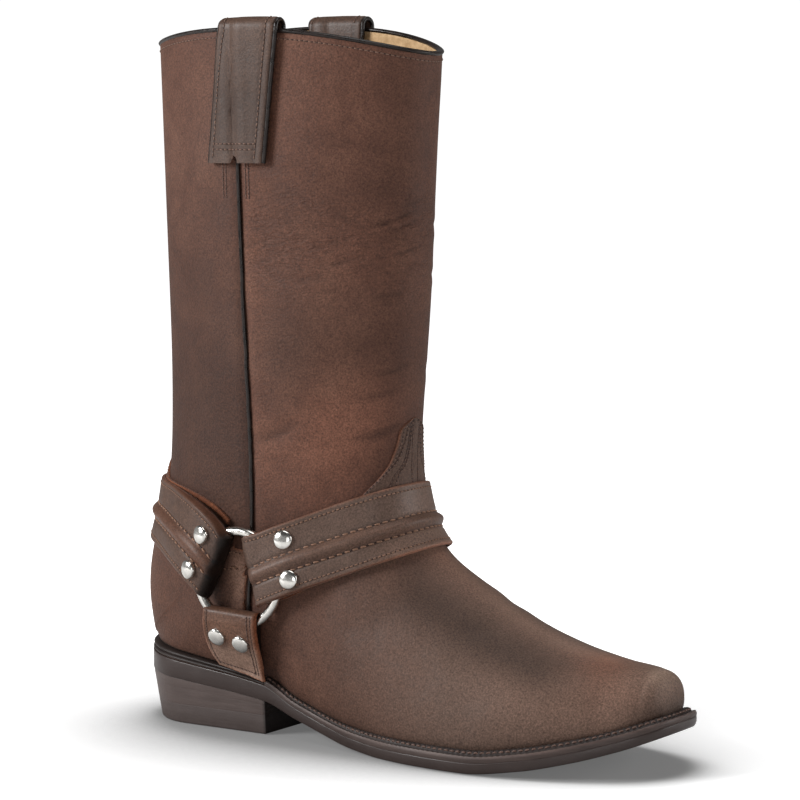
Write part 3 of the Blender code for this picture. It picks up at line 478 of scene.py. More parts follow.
relief = 0.35 * np.sin(pz / 27 + girth / 31) * np.sin(girth / 43 + 1.3) + 0.25 * np.sin(px / 23 + girth / 17 + 0.6)
relief = relief * fade(pz, 34, 59) * fade(pz, 344, 314) * fade(from_back, 0, 25)
creased = sum(trough(girth, pz, crease) for crease in SHAFT_CREASES) * fade(px, 20, 80)
creased += sum(trough(px, girth, crease) for crease in FOOT_CREASES)
past_seam = px - seam_place(pz)
from_seam = np.where(np.abs(py) > 20, past_seam, 99.0)
over_welt = pz - rim_top(px)
relief += creased
relief -= 0.8 * bell(from_seam, 0, 2.2) - 0.35 * bell(np.abs(from_seam), 6, 3.0)
relief -= 0.5 * bell(over_welt, 0, 2.5) * (stations[:, None] > 0.75)
outside = skin + skin_out * relief[..., None]
SKIN = surface_of(outside)

behind = 1 / (1 + np.exp(np.clip(past_seam / 0.8, -50, 50)))
in_front = fade(past_seam, 0, 3)
on_shaft = fade(pz, 110, 140)
# the foot's greyer colour stands in for the sheen of the light on its nap: painted sheen
foot_sheen_grey = fade(pz, 118, 88) * fade(px, 84, 94) * np.clip(0.15 + (px - 110) / 110, 0.15, 1)
on_vamp = fade(px, 155, 170) * fade(pz, 110, 95)
on_toe = bell(px, 268, 16) * bell(girth, -6, 22)
# the pale mark: paler patches on the shaft, and below, painted light on the vamp and toe
pale = 0.08 * behind * fade(pz, 270, 330) + in_front * (
    sum(strength * bell(pz, z, dz) * bell(girth, g, dg) for strength, z, dz, g, dg in PALE_PATCHES)
    + 0.2 * fade(pz, 270, 310) * fade(girth, -15, -35) + 0.3 * bell(past_seam, 0, 12) * on_shaft)
# painted light: a painted highlight along the vamp's ridge, and painted light on the vamp's near side and on the
# toe's near side, where the light falls
pale += 0.75 * on_vamp * bell(girth, -2, 11) * fade(px, 278, 266)
pale += 0.35 * on_vamp * bell(girth, -50, 16) * fade(px, 195, 235)
pale += 0.4 * fade(px, 250, 280) * bell(girth, -26, 16)
darkening_and_painted_shade = behind * (0.08 + 0.42 * bell(pz, 150, 73)) + in_front * (
    sum(strength * bell(pz, z, dz) * bell(girth, g, dg) for strength, z, dz, g, dg in DARK_PATCHES)
    + 0.14 * bell(pz, 190, 26))
# painted shade: a band along the near side of the vamp's top where little light falls, a dent at the toe, the
# toe's front low down, and the troughs of the creases
darkening_and_painted_shade += 0.46 * on_vamp * bell(girth, -32, 13) * fade(px, 258, 240)
darkening_and_painted_shade += 0.2 * bell(px, 293, 5) * bell(girth, -17, 6) + 0.3 * fade(px, 284, 292) * fade(pz, 40, 31)
darkening_and_painted_shade += np.clip(-creased - 0.08, 0, 0.6) * (0.3 + 0.9 * fade(pz, 110, 130))
upper_marks = {
    "cool": np.clip(0.85 * foot_sheen_grey - 0.4 * on_toe, 0, 1),
    # the shade mark also paints shade in the seam's groove and where the upper meets the welt
    "shade": np.clip(darkening_and_painted_shade + 0.4 * bell(from_seam, 0, 1.6) + 0.5 * np.exp(-np.abs(over_welt) / 4.0), 0, 1),
    # a painted highlight on the toe's top, partly a scuff
    "scuff_and_painted_light": 0.3 * bell(px, 292, 4) * bell(girth, -2, 12) + 0.05 * bell(px, 282, 9) * bell(girth, -4, 16),
    "pale": pale,
    "wrinkle": in_front * on_shaft * (0.25 + 0.75 * bell(pz, 248, 26)),
    "rust": 0.12 * on_toe}
thick_sheet("upper_leather", outside, skin - skin_out * WALL, grid_faces(*outside.shape[:2]),
            [brown_leather, lining], upper_marks, inside=1, stands_for=["upper"])

# The insole: a thick leather board with a tan leather sock glued on top. It lies on the outsole inside the upper,
# and only its top shows, through the open shaft.
INSOLE_THICKNESS = 4.5
INSOLE_INSET = WALL + 1.0


def outline(x, middle, width, z):
    """A loop round the sole: along its right side to the front and back along its left."""
    right = np.stack([x, middle - width, z], axis=1)
    left = np.stack([x, middle + width, z], axis=1)
    return np.concatenate([right, left[::-1]])


def lids(levels, count):
    """Strips of faces that close the lowest and the highest of some outlines."""
    return [[base + i, base + i + 1, base + count - 2 - i, base + count - 1 - i]
            for base in (0, (levels - 1) * count) for i in range(count // 2 - 1)]


def slab(name, places, half, levels, finishes, side=0, **settings):
    """A flat layer of the sole: outlines at several levels, each drawn in by an inset, closed above and below."""
    centre = (places[0] + places[-1]) / 2
    rows = []
    for inset, heights in levels:
        x = centre + (places - centre) * (1 - 2 * inset / (places[-1] - places[0]))
        rows.append(outline(x, sole_middle(places), np.maximum(half - inset, 0), heights))
    rows = np.array(rows)
    walls = grid_faces(*rows.shape[:2], wrap_columns=True)
    closing = lids(*rows.shape[:2])
    which = [side] * len(walls) + [0] * len(closing)
    piece(name, rows, walls + closing, finishes, which, **settings)


def bunched(start, end, count):
    """Places that crowd together towards both ends."""
    return start + (1 - np.cos(np.linspace(0, math.pi, count))) / 2 * (end - start)


places = bunched(UPPER_BACK + INSOLE_INSET + 0.1, SOLE_LENGTH - UPPER_FRONT - INSOLE_INSET - 1.6, 90)
half = inset_half(places, UPPER_BACK + INSOLE_INSET, UPPER_FRONT + INSOLE_INSET + 1.5, INSOLE_INSET * 0.9)
board = outsole_top(places) + GLUE
slab("insole_sock", places, half,
     [(0, board), (0, board + 3.6), (0.5, board + 4.3), (1.4, board + INSOLE_THICKNESS)],
     [lining], slot="tan_lining_leather", stands_for=["insole"])

# The outsole: dense sole leather, arched at the shank and sprung at the toe, sewn on through the welt and trimmed
# flush with it. Its edge is stained dark brown and burnished, and its underside is left plain.


def sole_edge(name, deep, pale, rough, lines):
    """Stained sole edge: faint level streaks from trimming, scuffs, and a low shine."""
    finish, tree, shader, where = new_finish(name)
    streak = noise_of(tree, squeezed(tree, where, 14.0), 45.0, 4.0, 0.65)
    blotch = noise_of(tree, where, 60.0, 4.0, 0.6)
    grit = noise_of(tree, where, 900.0, 2.0)
    colour = ramp_of(tree, halfway(tree, 0.45, streak, blotch), [(0.34, deep), (0.66, pale)])
    colour = tinted(tree, colour, ranged(tree, mark_of(tree, "shade"), 0.0, 1.0, 1.0, 0.1))
    colour = tinted(tree, colour, ranged(tree, mark_of(tree, "pale"), 0.0, 1.0, 1.0, 2.4))
    wire(tree, shader, {
        "Base Color": colour, "Roughness": ranged(tree, blotch, 0.3, 0.7, rough - 0.08, rough + 0.1),
        "Specular IOR Level": 0.3,
        "Normal": bump_of(tree, grit, 0.2, 0.0003, bump_of(tree, streak, lines, 0.0005))})
    return finish


edge_finish = sole_edge("burnished_sole_edge", (0.031, 0.021, 0.0185), (0.04, 0.0275, 0.0245), 0.36, 0.06)
tread_finish = sole_edge("worn_sole_leather", (0.12, 0.08, 0.055), (0.2, 0.14, 0.1), 0.7, 0.15)
places = bunched(0.02, SOLE_LENGTH - 0.02, 220)
under = sole_under(places)
top = outsole_top(places)
tuck = np.clip((places - 262) / 42, 0, 1) ** 2
slab("outsole_leather", places, sole_half(places),
     [(0.5 + 1.6 * tuck, under), (0.15 + 0.9 * tuck, under + 0.12 + 0.3 * tuck),
      (0.5 * tuck, under + 0.5 + 0.8 * tuck), (0.05, under + 0.5 * (top - under)), (0.0, top - 0.5),
      (0.12, top - 0.1), (0.4, top)],
     [tread_finish, edge_finish], side=1, slot="dark_sole_leather", stands_for=["outsole"])

# The heel: leather lifts glued and nailed under the seat and rasped to one slope, with a rubber top lift as the
# lowest layer. The joints of the lifts show as fine nicks round the stack.
HEEL_LENGTH, TOP_LIFT, SEAT_HEIGHT = 86.5, 9.7, 25.5
HEEL_SLOPE, HEEL_TAPER = 5.0, 0.05
# the place that a nick draws the heel towards, and the heel's reach from there
HEEL_MIDDLE, HEEL_REACH = 45.0, 43.0
stack_finish = sole_edge("rasped_heel_leather", (0.063, 0.046, 0.0415), (0.089, 0.066, 0.06), 0.42, 0.15)
lift_finish = sole_edge("rubber_top_lift", (0.055, 0.041, 0.037), (0.075, 0.057, 0.053), 0.5, 0.15)
HEEL_SHARES = np.concatenate([bunched(0.0003, 0.75, 60), np.linspace(0.76, 1.0, 12)])


def heel_block(name, low, high, grooves, finish, slot, stands_for):
    """A layer of the heel from low to high, drawn in towards the floor and nicked at each groove."""
    rows = []
    for share_up, inset in grooves:
        z = low + share_up * (high - low)
        down = np.clip(1 - z / SEAT_HEIGHT, 0, 1)
        shrink = 1 - inset / HEEL_REACH
        x = HEEL_SLOPE * down + HEEL_SHARES * (HEEL_LENGTH - HEEL_SLOPE * down)
        x = HEEL_MIDDLE + (x - HEEL_MIDDLE) * shrink
        width = np.maximum(sole_half(HEEL_SHARES * HEEL_LENGTH) * (1 - HEEL_TAPER * down) - 0.2, 0) * shrink
        rows.append(outline(x, sole_middle(x), width, z))
    rows = np.array(rows)
    faces = grid_faces(*rows.shape[:2], wrap_columns=True) + lids(*rows.shape[:2])
    # the heel's breast face is painted darker as shade
    breast_painted_shade = 0.75 * (rows[..., 0] > HEEL_LENGTH - 0.4)
    piece(name, rows, faces, [finish], marks={"shade": breast_painted_shade}, crease=50, slot=slot, stands_for=stands_for)


nicks = [(0, 0.08)]
for lift in range(3):
    nicks += [(lift / 3 + 0.008, 0.03), (lift / 3 + 0.03, 0.0)]
    nicks += [((lift + 1) / 3 - 0.03, 0.0), ((lift + 1) / 3 - 0.008, 0.03)]
level = np.ones(len(HEEL_SHARES))
seat = sole_under(HEEL_SHARES * HEEL_LENGTH) - 0.03
heel_block("heel_lifts", (TOP_LIFT + 0.04) * level, seat, nicks + [(1, 0.08)],
           stack_finish, "dark_sole_leather", ["heel_stack"])
heel_block("heel_top_piece", 0 * level, TOP_LIFT * level,
           [(0, 0.6), (0.05, 0.15), (0.12, 0.0), (0.5, 0.0), (0.96, 0.0), (1, 0.12)],
           lift_finish, "heel_rubber", ["heel_top_lift"])

# The welt and the rand: leather strips between upper and outsole. The welt's top edge is wheeled into close ridges
# beside its lockstitch, and the rand round the heel is rolled into two cords.
RIDGE_STEP = 2.9
# how far the strips reach in from the sole's back and front end
RIM_BACK, RIM_FRONT = 6.4, 9.7
welt_finish = sole_edge("wheeled_welt", (0.032, 0.02, 0.017), (0.062, 0.042, 0.036), 0.5, 0.1)


def end_faces(rows, columns):
    """The two faces that close the first and the last section of a strip."""
    return [list(range(columns)), list(range((rows - 1) * columns, rows * columns))]


def rim_strip(name, walk, inner_end, profile, stands_for):
    """A strip round one end of the sole. The profile gives its share inwards and its height share."""
    start, end = walk[0], walk[-1]
    side = np.concatenate([np.full(len(walk) - 1, RIGHT), [0], np.full(len(walk) - 1, LEFT)])
    outer_x = np.concatenate([walk, walk[-2::-1]])
    inner_x = outer_x - ((outer_x - start) / (end - start)) ** 3 * (end - inner_end)
    outer = np.stack([outer_x, sole_middle(outer_x) + side * (sole_half(outer_x) - 0.15),
                      outsole_top(outer_x) + 0.05], axis=1)
    inner = np.stack([inner_x, sole_middle(inner_x) + side * inset_half(inner_x, RIM_BACK, RIM_FRONT, 2.6),
                      outsole_top(inner_x) + GLUE], axis=1)
    rows = []
    for inwards, height in profile(run_of(outer)):
        spot = outer + (inner - outer) * inwards
        spot[:, 2] += height * rim_thickness(spot[:, 0])
        rows.append(spot)
    rows = np.stack(rows, axis=1)
    faces = grid_faces(*rows.shape[:2], wrap_columns=True) + end_faces(*rows.shape[:2])
    # darker over the strip's top beyond its outer edge, and a paler line along the top of its outer edge
    darker_top = np.full(rows.shape[:2], 0.65)
    darker_top[:, :4] = 0.0
    paler_top_corner = np.zeros(rows.shape[:2])
    paler_top_corner[:, 2:4] = 0.45
    piece(name, rows, faces, [welt_finish], marks={"shade": darker_top, "pale": paler_top_corner}, crease=70,
          slot="dark_sole_leather", stands_for=stands_for)
    return outer, inner


def welt_profile(walked):
    ridge = 0.5 + 0.5 * np.cos(2 * math.pi * walked / RIDGE_STEP)
    return [(0, 0), (-0.01, 0.45), (0.02, 0.8 + 0.02 * ridge), (0.06, 0.92 + 0.06 * ridge), (0.13, 0.86),
            (0.2, 0.92), (0.27, 1.12 + 0.24 * ridge), (0.36, 1.38 + 0.26 * ridge), (0.45, 1.55 + 0.2 * ridge),
            (0.53, 1.62), (0.62, 1.55), (0.66, 1.0), (1.0, 1.0), (1.0, 0)]


def rand_profile(walked):
    spots = [(0.0, 0.0)]
    for t in np.linspace(0, 1, 17):
        bulge = abs(math.sin(2 * math.pi * t))
        spots.append((0.13 - 0.15 * bulge**0.7 + 0.08 * t, 0.02 + 0.98 * t))
    return spots + [(1.0, 1.0), (1.0, 0.0)]


quarter_turn = np.sin(np.linspace(0, math.pi / 2, 110))
toe_walk = np.concatenate([np.linspace(HEEL_LENGTH + 0.5, 270, 260)[:-1], 270 + 33.85 * quarter_turn])
welt_outer, welt_inner = rim_strip("welt_strip", toe_walk, SOLE_LENGTH - RIM_FRONT, welt_profile, ["welt"])
quarter_turn = np.sin(np.linspace(0, math.pi / 2, 70))
heel_walk = np.concatenate([np.linspace(HEEL_LENGTH, 34, 50)[:-1], 34 - 33.9 * quarter_turn])
rim_strip("rand_strip", heel_walk, RIM_BACK, rand_profile, ["heel_rand"])

# The threads: waxed thread in tan, brown and dark brown, pulled down into the leather at both ends of each stitch,
# with a needle hole between two stitches. The first row is the lockstitch that holds the outsole to the welt.
THREAD_SIDES = 6
# along one stitch: share of its length, then height and thickness in thread radii
STITCH = np.array([(0.0, -0.9, 0.45), (0.1, 0.1, 0.85), (0.3, 0.45, 1.0), (0.5, 0.55, 1.0), (0.7, 0.45, 1.0),
                   (0.9, 0.1, 0.85), (1.0, -0.9, 0.45)])


def thread(name, deep, pale):
    finish, tree, shader, where = new_finish(name)
    twist = noise_of(tree, where, 1500.0, 2.0)
    wire(tree, shader, {"Base Color": ramp_of(tree, twist, [(0.3, deep), (0.7, pale)]), "Roughness": 0.6,
                        "Normal": bump_of(tree, twist, 0.5, 0.0003)})
    return finish


tan_thread = thread("tan_thread", (0.12, 0.058, 0.033), (0.27, 0.142, 0.086))
seam_thread = thread("brown_thread", (0.09, 0.044, 0.028), (0.19, 0.105, 0.07))
dark_thread = thread("dark_thread", (0.05, 0.024, 0.017), (0.13, 0.068, 0.048))
# the needle holes are low dark discs: painted shade inside the holes
hole_shade_finish, tree, shader, where = new_finish("needle_hole_shade")
wire(tree, shader, {"Base Color": ramp_of(tree, noise_of(tree, where, 700.0),
                                          [(0.3, (0.012, 0.005, 0.004)), (0.7, (0.04, 0.014, 0.008))]),
                    "Roughness": 0.8})


def copies(faces, size, count):
    return [[i + size * n for i in face] for n in range(count) for face in faces]


def sew(name, rows, length, gap, radius, finish, slant=0.0, holes=True, slot="brown_leather"):
    """Stitches along rows of (points, normals), each one sunk at both ends, with a low dark disc between them
    painted as the shade of a needle hole.
    """
    share, rise, girthed = STITCH.T
    steps = len(STITCH)
    turn = np.linspace(0, 2 * math.pi, THREAD_SIDES, endpoint=False)
    rings = []
    pits = []
    for points, normals in rows:
        walked = run_of(points)
        count = int((walked[-1] + gap) / (length + gap))
        if count < 1:
            continue
        starts = np.arange(count) * (length + gap) + (walked[-1] + gap - count * (length + gap)) / 2
        s = starts[:, None] + share * length
        spot = picked(walked, points, s.ravel()).reshape(count, steps, 3)
        normal = unit(picked(walked, normals, s.ravel()).reshape(count, steps, 3))
        across = np.cross(unit(np.gradient(spot, axis=1)), normal)
        middle = spot + across * (slant * (share - 0.5))[:, None] + normal * (rise * radius)[:, None]
        around = across[:, :, None] * np.cos(turn)[:, None] + normal[:, :, None] * np.sin(turn)[:, None]
        rings.append(middle[:, :, None] + (radius * girthed)[:, None, None] * around)
        if holes:
            ends = np.concatenate([s[:, 0] - gap / 2, s[-1:, -1] + gap / 2])
            pit = picked(walked, points, ends)
            up = unit(picked(walked, normals, ends))
            ahead = unit(picked(walked, points, ends + 0.2) - picked(walked, points, ends - 0.2))
            across = np.cross(ahead, up)
            loop = [pit + (ahead * math.cos(t) * 1.15 + across * math.sin(t) * 0.9) * radius * 1.5 for t in turn]
            spots = [p - up * 0.25 for p in loop] + [p + up * 0.05 for p in loop] + [pit + up * 0.12]
            pits.append(np.stack(spots, axis=1))
    rings = np.concatenate(rings)
    one = grid_faces(steps, THREAD_SIDES, wrap_columns=True) + end_faces(steps, THREAD_SIDES)
    piece(name, rings, copies(one, steps * THREAD_SIDES, len(rings)), [finish], slot=slot)
    if pits:
        pits = np.concatenate(pits)
        n = THREAD_SIDES
        around = [(k, (k + 1) % n) for k in range(n)]
        one = [[a, b, n + b, n + a] for a, b in around] + [[n + a, n + b, 2 * n] for a, b in around]
        one.append(list(range(n))[::-1])
        piece(name + "_hole_shade", pits, copies(one, 2 * n + 1, len(pits)), [hole_shade_finish], slot=slot)


welt_line = welt_outer + (welt_inner - welt_outer) * 0.3
welt_line[:, 2] += 1.3 * rim_thickness(welt_line[:, 0])
upwards = np.tile([0.0, 0.0, 1.0], (len(welt_line), 1))
sew("welt_lockstitch", [(welt_line, upwards)], length=2.5, gap=0.7, radius=0.5, finish=dark_thread, holes=False,
    slot="dark_sole_leather")

# The front tongue and the heel counter: skived brown leather laid over the upper and sewn down along the edge,
# which is left raw. The tongue ends the vamp in a peak on the shin, and the counter wraps the heel up to the
# side seams.
OVERLAY = 1.15
# station and half width from the ridge
TONGUE_ROWS = np.array([(11.3, 40), (12.2, 41), (13.0, 40), (13.4, 32), (13.6, 22.5), (14.0, 15.5), (14.8, 11.7),
                        (15.5, 10.0), (15.75, 7.5), (16.08, 0.8)])
TONGUE_FOOT, TONGUE_PEAK = TONGUE_ROWS[0, 0], TONGUE_ROWS[-1, 0]
TONGUE_VEIN = 0.42
# station and reach from the back seam
COUNTER_ROWS = np.array([
    (12.4, 120), (14.55, 120), (14.75, 90), (15, 90.4), (15.25, 91.7), (15.5, 93.3), (15.75, 95.8), (16, 101.6),
    (16.25, 98.9), (17, 97), (18, 88), (19, 68), (20, 42), (21, 18), (21.4, 5)])
raw_edge = leather("raw_cut_edge", (0.06, 0.02, 0.011), (0.13, 0.042, 0.019), (0.21, 0.076, 0.036),
                   (0.1, 0.05, 0.03), rough=0.85, sheen=0.1)


def landed(hits):
    """The spots and the outward directions of some hits."""
    return np.array([h[0] for h in hits]), np.array([h[1] for h in hits])


def laid_over(points):
    """Where the points land on the upper, with its outward direction there."""
    spots, outs = landed([SKIN.find_nearest(Vector(p)) for p in points.reshape(-1, 3).tolist()])
    return spots.reshape(points.shape), outs.reshape(points.shape)


def softened(values, turns):
    """Directions or heights of a grid, evened out with their neighbours."""
    for _ in range(turns):
        wide = np.pad(values, [(1, 1), (1, 1)] + [(0, 0)] * (values.ndim - 2), mode="edge")
        around = wide[:-2, 1:-1] + wide[2:, 1:-1] + wide[1:-1, :-2] + wide[1:-1, 2:]
        values = (around + 2 * wide[1:-1, 1:-1]) / 6
    return values


def quarter_round(share):
    return np.sqrt(np.clip(1 - (1 - np.clip(share, 0, 1)) ** 2, 0, 1))


def grid_row(points, outs, shares, wanted):
    """A line across the columns of a grid at the wanted share in each row."""
    return [np.array([picked(shares, row, [w])[0] for row, w in zip(grid, wanted)]) for grid in (points, outs)]


tongue_half = eased_line(*TONGUE_ROWS.T)
tongue_stations = np.concatenate([np.linspace(TONGUE_FOOT, 13.2, 20)[:-1], np.linspace(13.2, TONGUE_PEAK, 77)])
tongue_across = np.linspace(-1, 1, 73)
tongue_points = []
for station in tongue_stations:
    width = float(tongue_half(station))
    right = along_line(half_section(station, RIGHT), -tongue_across[tongue_across < 0] * width)
    left = along_line(half_section(station, LEFT), tongue_across[tongue_across >= 0] * width)
    tongue_points.append(np.concatenate([right, left]))
tongue_points, tongue_out = laid_over(np.array(tongue_points))
tongue_out = unit(softened(tongue_out, 3))
tongue_width = tongue_half(tongue_stations)
from_middle = np.abs(tongue_across) * tongue_width[:, None]
to_edge = np.minimum((1 - np.abs(tongue_across)) * tongue_width[:, None],
                     (TONGUE_PEAK - tongue_stations)[:, None] * 16 + 0.01)
vein = (np.abs(tongue_across) - TONGUE_VEIN) * tongue_width[:, None]
rounded = quarter_round(to_edge / 0.9)
puff = 0.5 * np.clip(to_edge / 5, 0, 1) - 0.35 * bell(vein, 0, 1.2)
puff = puff - 0.35 * bell(from_middle, 2.4, 1.0) - 0.25 * bell(to_edge, 3.2, 1.3)
tongue_top = tongue_points + tongue_out * (0.35 + (OVERLAY - 0.35 + puff) * rounded)[..., None]
# painted shade in the groove along each vein, over a tongue that is darker all over
tongue_marks = {"cool": np.full(to_edge.shape, 0.7), "shade": 0.35 * bell(vein, 0, 1.0) + 0.12,
                "rust": 0.5 * bell(to_edge, 0, 0.7)}
thick_sheet("front_tongue", tongue_top, tongue_points - tongue_out * 0.2, grid_faces(*to_edge.shape),
            [brown_leather, raw_edge], tongue_marks, edge=1, stands_for=["vamp_tongue"])
level = np.ones(len(tongue_stations))
tongue_lines = []
for side in (RIGHT, LEFT):
    for inset in (2.2, 4.2):
        tongue_lines.append((side * np.clip(1 - inset / tongue_width, 0.02, 1), tongue_width > inset + 1.5))
    for share, last in ((TONGUE_VEIN, 84), (0.33, 82)):
        tongue_lines.append((side * share * level, slice(last)))
    tongue_lines.append((side * np.clip(2.4 / tongue_width, 0, 0.8), slice(90)))
tongue_seams = []
for share, keep in tongue_lines:
    line, up = grid_row(tongue_top, tongue_out, tongue_across, share)
    tongue_seams.append((line[keep], up[keep]))
sew("tongue_stitches", tongue_seams, length=1.5, gap=0.7, radius=0.3, finish=dark_thread)

LOW_ROWS = 70
counter_reach = eased_line(*COUNTER_ROWS.T)
counter_stations = np.concatenate([np.linspace(12.4, 16, LOW_ROWS), np.linspace(16.06, 21.4, 70)])
counter_share = np.linspace(0, 1, 50)
counter_points = []
for station in counter_stations:
    sides = []
    for side in (RIGHT, LEFT):
        line = half_section(station, side)
        walked = run_of(line)
        before_seam = walked[line[:, 0] < seam_place(line[:, 2]) - 2.0]
        foot = 1.2 if station <= 16 else 0.0
        reach = min(float(counter_reach(station)), walked[-1] - foot - before_seam[0])
        sides.append(along_line(line, walked[-1] - foot - counter_share * reach))
    counter_points.append(np.concatenate([sides[0][::-1], sides[1]]))
counter_points, counter_out = laid_over(np.array(counter_points))
counter_out = unit(softened(counter_out, 2))
count = 2 * len(counter_share)
# the low rows stay open at the back middle, where the rand and the sole lie between the two sides
faces = [f for f in grid_faces(len(counter_stations), count)
         if f[0] % count != len(counter_share) - 1 or f[0] // count >= LOW_ROWS]
rim = np.ones(counter_points.shape[:2])
rim[:, 0] = rim[:, -1] = rim[0] = rim[-1] = 0.45
counter_top = counter_points + counter_out * (OVERLAY * rim)[..., None]
counter_top[..., 2] = np.maximum(counter_top[..., 2], rim_top(counter_top[..., 0]) + 0.3)
cx, cz = counter_points[..., 0], counter_points[..., 2]
# painted shadow beside the rear strap's fold, painted shade where the counter meets the rand, and painted light on
# the counter inside the ring, which lifts the shade there
fold_painted_shadow = bell(cx - 0.3 * (cz - 82), 63.5, 5.5) * np.exp(-((cz - 84) / 17) ** 4)
rand_painted_shade = np.exp(-np.abs(cz - rim_top(cx)) / 4)
ring_painted_light = bell(cx, 77, 7) * bell(cz, 82, 14)
counter_marks = {"cool": np.full(rim.shape, 0.12), "shade": np.clip(0.9 * fold_painted_shadow + 0.3 * rand_painted_shade, 0, 1),
                 "rust": 0.5 * (rim < 1), "pale": ring_painted_light, "scuff_and_painted_light": 0.12 * ring_painted_light}
thick_sheet("heel_counter_leather", counter_top, counter_points - counter_out * 0.2, faces,
            [brown_leather, raw_edge], counter_marks, edge=1, stands_for=["heel_counter"])
counter_seams = []
for end in (0, -1):
    edge_line = counter_points[44:, end]
    free = edge_line[:, 0] < seam_place(edge_line[:, 2]) - 2.4
    edge_line = along_line(edge_line[free], np.linspace(0, run_of(edge_line[free])[-1], 90))
    for _ in range(4):
        edge_line[1:-1] = (edge_line[:-2] + 2 * edge_line[1:-1] + edge_line[2:]) / 4
    ahead = unit(np.gradient(edge_line, axis=0))
    downwards = unit(np.array([0, 0, -1.0]) + ahead * ahead[:, 2:])
    for inset in (2.0, 10.0):
        line, up = laid_over(edge_line + downwards * inset)
        keep = line[:, 0] < seam_place(line[:, 2]) - 3.0
        counter_seams.append((line[keep] + up[keep] * OVERLAY, up[keep]))
sew("counter_stitches", counter_seams, length=1.7, gap=0.7, radius=0.32, finish=tan_thread)

# The side seams: a strip of glossy dark leather folded round a cord and caught between the front and the rear
# shaft panel, so that only its round edge shows from the rand up to the pull strap.
SIDES = ((RIGHT, "right"), (LEFT, "left"))
CORD_RADIUS, CORD_LIFT = 1.0, 0.75
piping_finish, tree, shader, where = new_finish("glossy_dark_piping")
fold = noise_of(tree, where, 240.0, 4.0, 0.6)
wire(tree, shader, {
    "Base Color": ramp_of(tree, fold, [(0.35, (0.006, 0.004, 0.0035)), (0.7, (0.02, 0.012, 0.009))]),
    "Roughness": ranged(tree, fold, 0.3, 0.7, 0.22, 0.42), "Specular IOR Level": 0.3,
    "Normal": bump_of(tree, fold, 0.35, 0.0006)})


def on_side(x, z, side):
    """Where a pin pushed straight in from one side meets the upper, and its outward direction there."""
    spot, out, _, _ = SKIN.ray_cast(Vector((float(x), side * 300.0, float(z))), Vector((0, -side, 0)))
    return np.array(spot), np.array(out)


def tube(name, line, ups, radius, stands_for=()):
    """A round cord along a line, covered in the dark leather."""
    ahead = unit(np.gradient(line, axis=0))
    across = unit(np.cross(ahead, ups))
    ups = np.cross(across, ahead)
    turn = np.linspace(0, 2 * math.pi, 10, endpoint=False)[:, None]
    rows = line[:, None] + radius * (across[:, None] * np.cos(turn) + ups[:, None] * np.sin(turn))
    faces = grid_faces(*rows.shape[:2], wrap_columns=True) + end_faces(*rows.shape[:2])
    piece(name, rows, faces, [piping_finish], crease=60, slot="dark_piping_leather", stands_for=stands_for)


for side, word in SIDES:
    line, ups = landed([on_side(seam_place(z), z, side) for z in np.linspace(34.5, 292, 180)])
    ups = unit(ups)
    for _ in range(3):
        line[1:-1] = (line[:-2] + 2 * line[1:-1] + line[2:]) / 4
        ups[1:-1] = unit(ups[:-2] + 2 * ups[1:-1] + ups[2:])
    tube("side_seam_cord_" + word, line + ups * CORD_LIFT, ups, CORD_RADIUS, stands_for=["side_piping_" + word])

# The collar: a strip of the same glossy dark leather folded over the rim of the shaft and sewn through below it,
# so that outer leather and lining end in one narrow roll.
COLLAR_SEAM = 3.9
rim_line = outside[-1][:-1]
rim_out = skin_out[-1][:-1]
rim_up = unit((outside[-1] - outside[-4])[:-1])
rows = []
for turn in np.linspace(-0.5 * math.pi, 1.5 * math.pi, 22)[:-1]:
    spread = -WALL / 2 + (WALL / 2 + 0.8) * math.cos(turn)
    rise = 1.1 * math.sin(turn) if math.sin(turn) > 0 else -1.5 * abs(math.sin(turn)) ** 1.5
    rows.append(rim_line + rim_out * spread + rim_up * rise)
rows = np.stack(rows, axis=1)
piece("collar_roll", rows, grid_faces(*rows.shape[:2], wrap_rows=True, wrap_columns=True), [piping_finish],
      slot="dark_piping_leather", stands_for=["collar_binding"])
collar_row = rim_line - rim_up * COLLAR_SEAM + rim_out * 0.12
collar_row = np.concatenate([collar_row, collar_row[:1]])
sew("collar_stitches", [laid_over(collar_row)], length=1.8, gap=0.8, radius=0.3, finish=seam_thread)

# The pull straps: doubled waxed strap leather with corded edges, looped over the collar at each side seam. Each is
# sewn down its long edges and across its foot, and short tails of the shaft's own stitches run on below it.
PULL_BOTTOM, PULL_INSIDE = 285.0, 302.0
PULL_TOP = {RIGHT: 350.8, LEFT: 353.8}
PULL_LIFT, PULL_THICKNESS, PULL_HALF = 1.7, 2.2, 16.4
PULL_SEAMS = (-13.4, 12.0)
PULL_ROWS, LOOP_ROWS = 36, 11
strap_leather = leather("waxed_strap_leather", (0.048, 0.023, 0.0145), (0.066, 0.034, 0.022),
                        (0.088, 0.047, 0.031), (0.064, 0.043, 0.034), rough=0.48, sheen=0.0, coat=0.04,
                        cloud_scale=16.0, grain=0.12, shine=0.24)


def pull_spot(column, z, side):
    """A spot of the strap's inner face against the shaft, or straight above it, and its outward direction."""
    share = min((z - PULL_BOTTOM) / (PULL_TOP[RIGHT] - PULL_BOTTOM), 1.0)
    spot, out = on_side(77.0 + 7.5 * share + column, min(z, 343.0), side)
    spot[2] = z
    out[2] = 0
    return spot, out / np.linalg.norm(out)


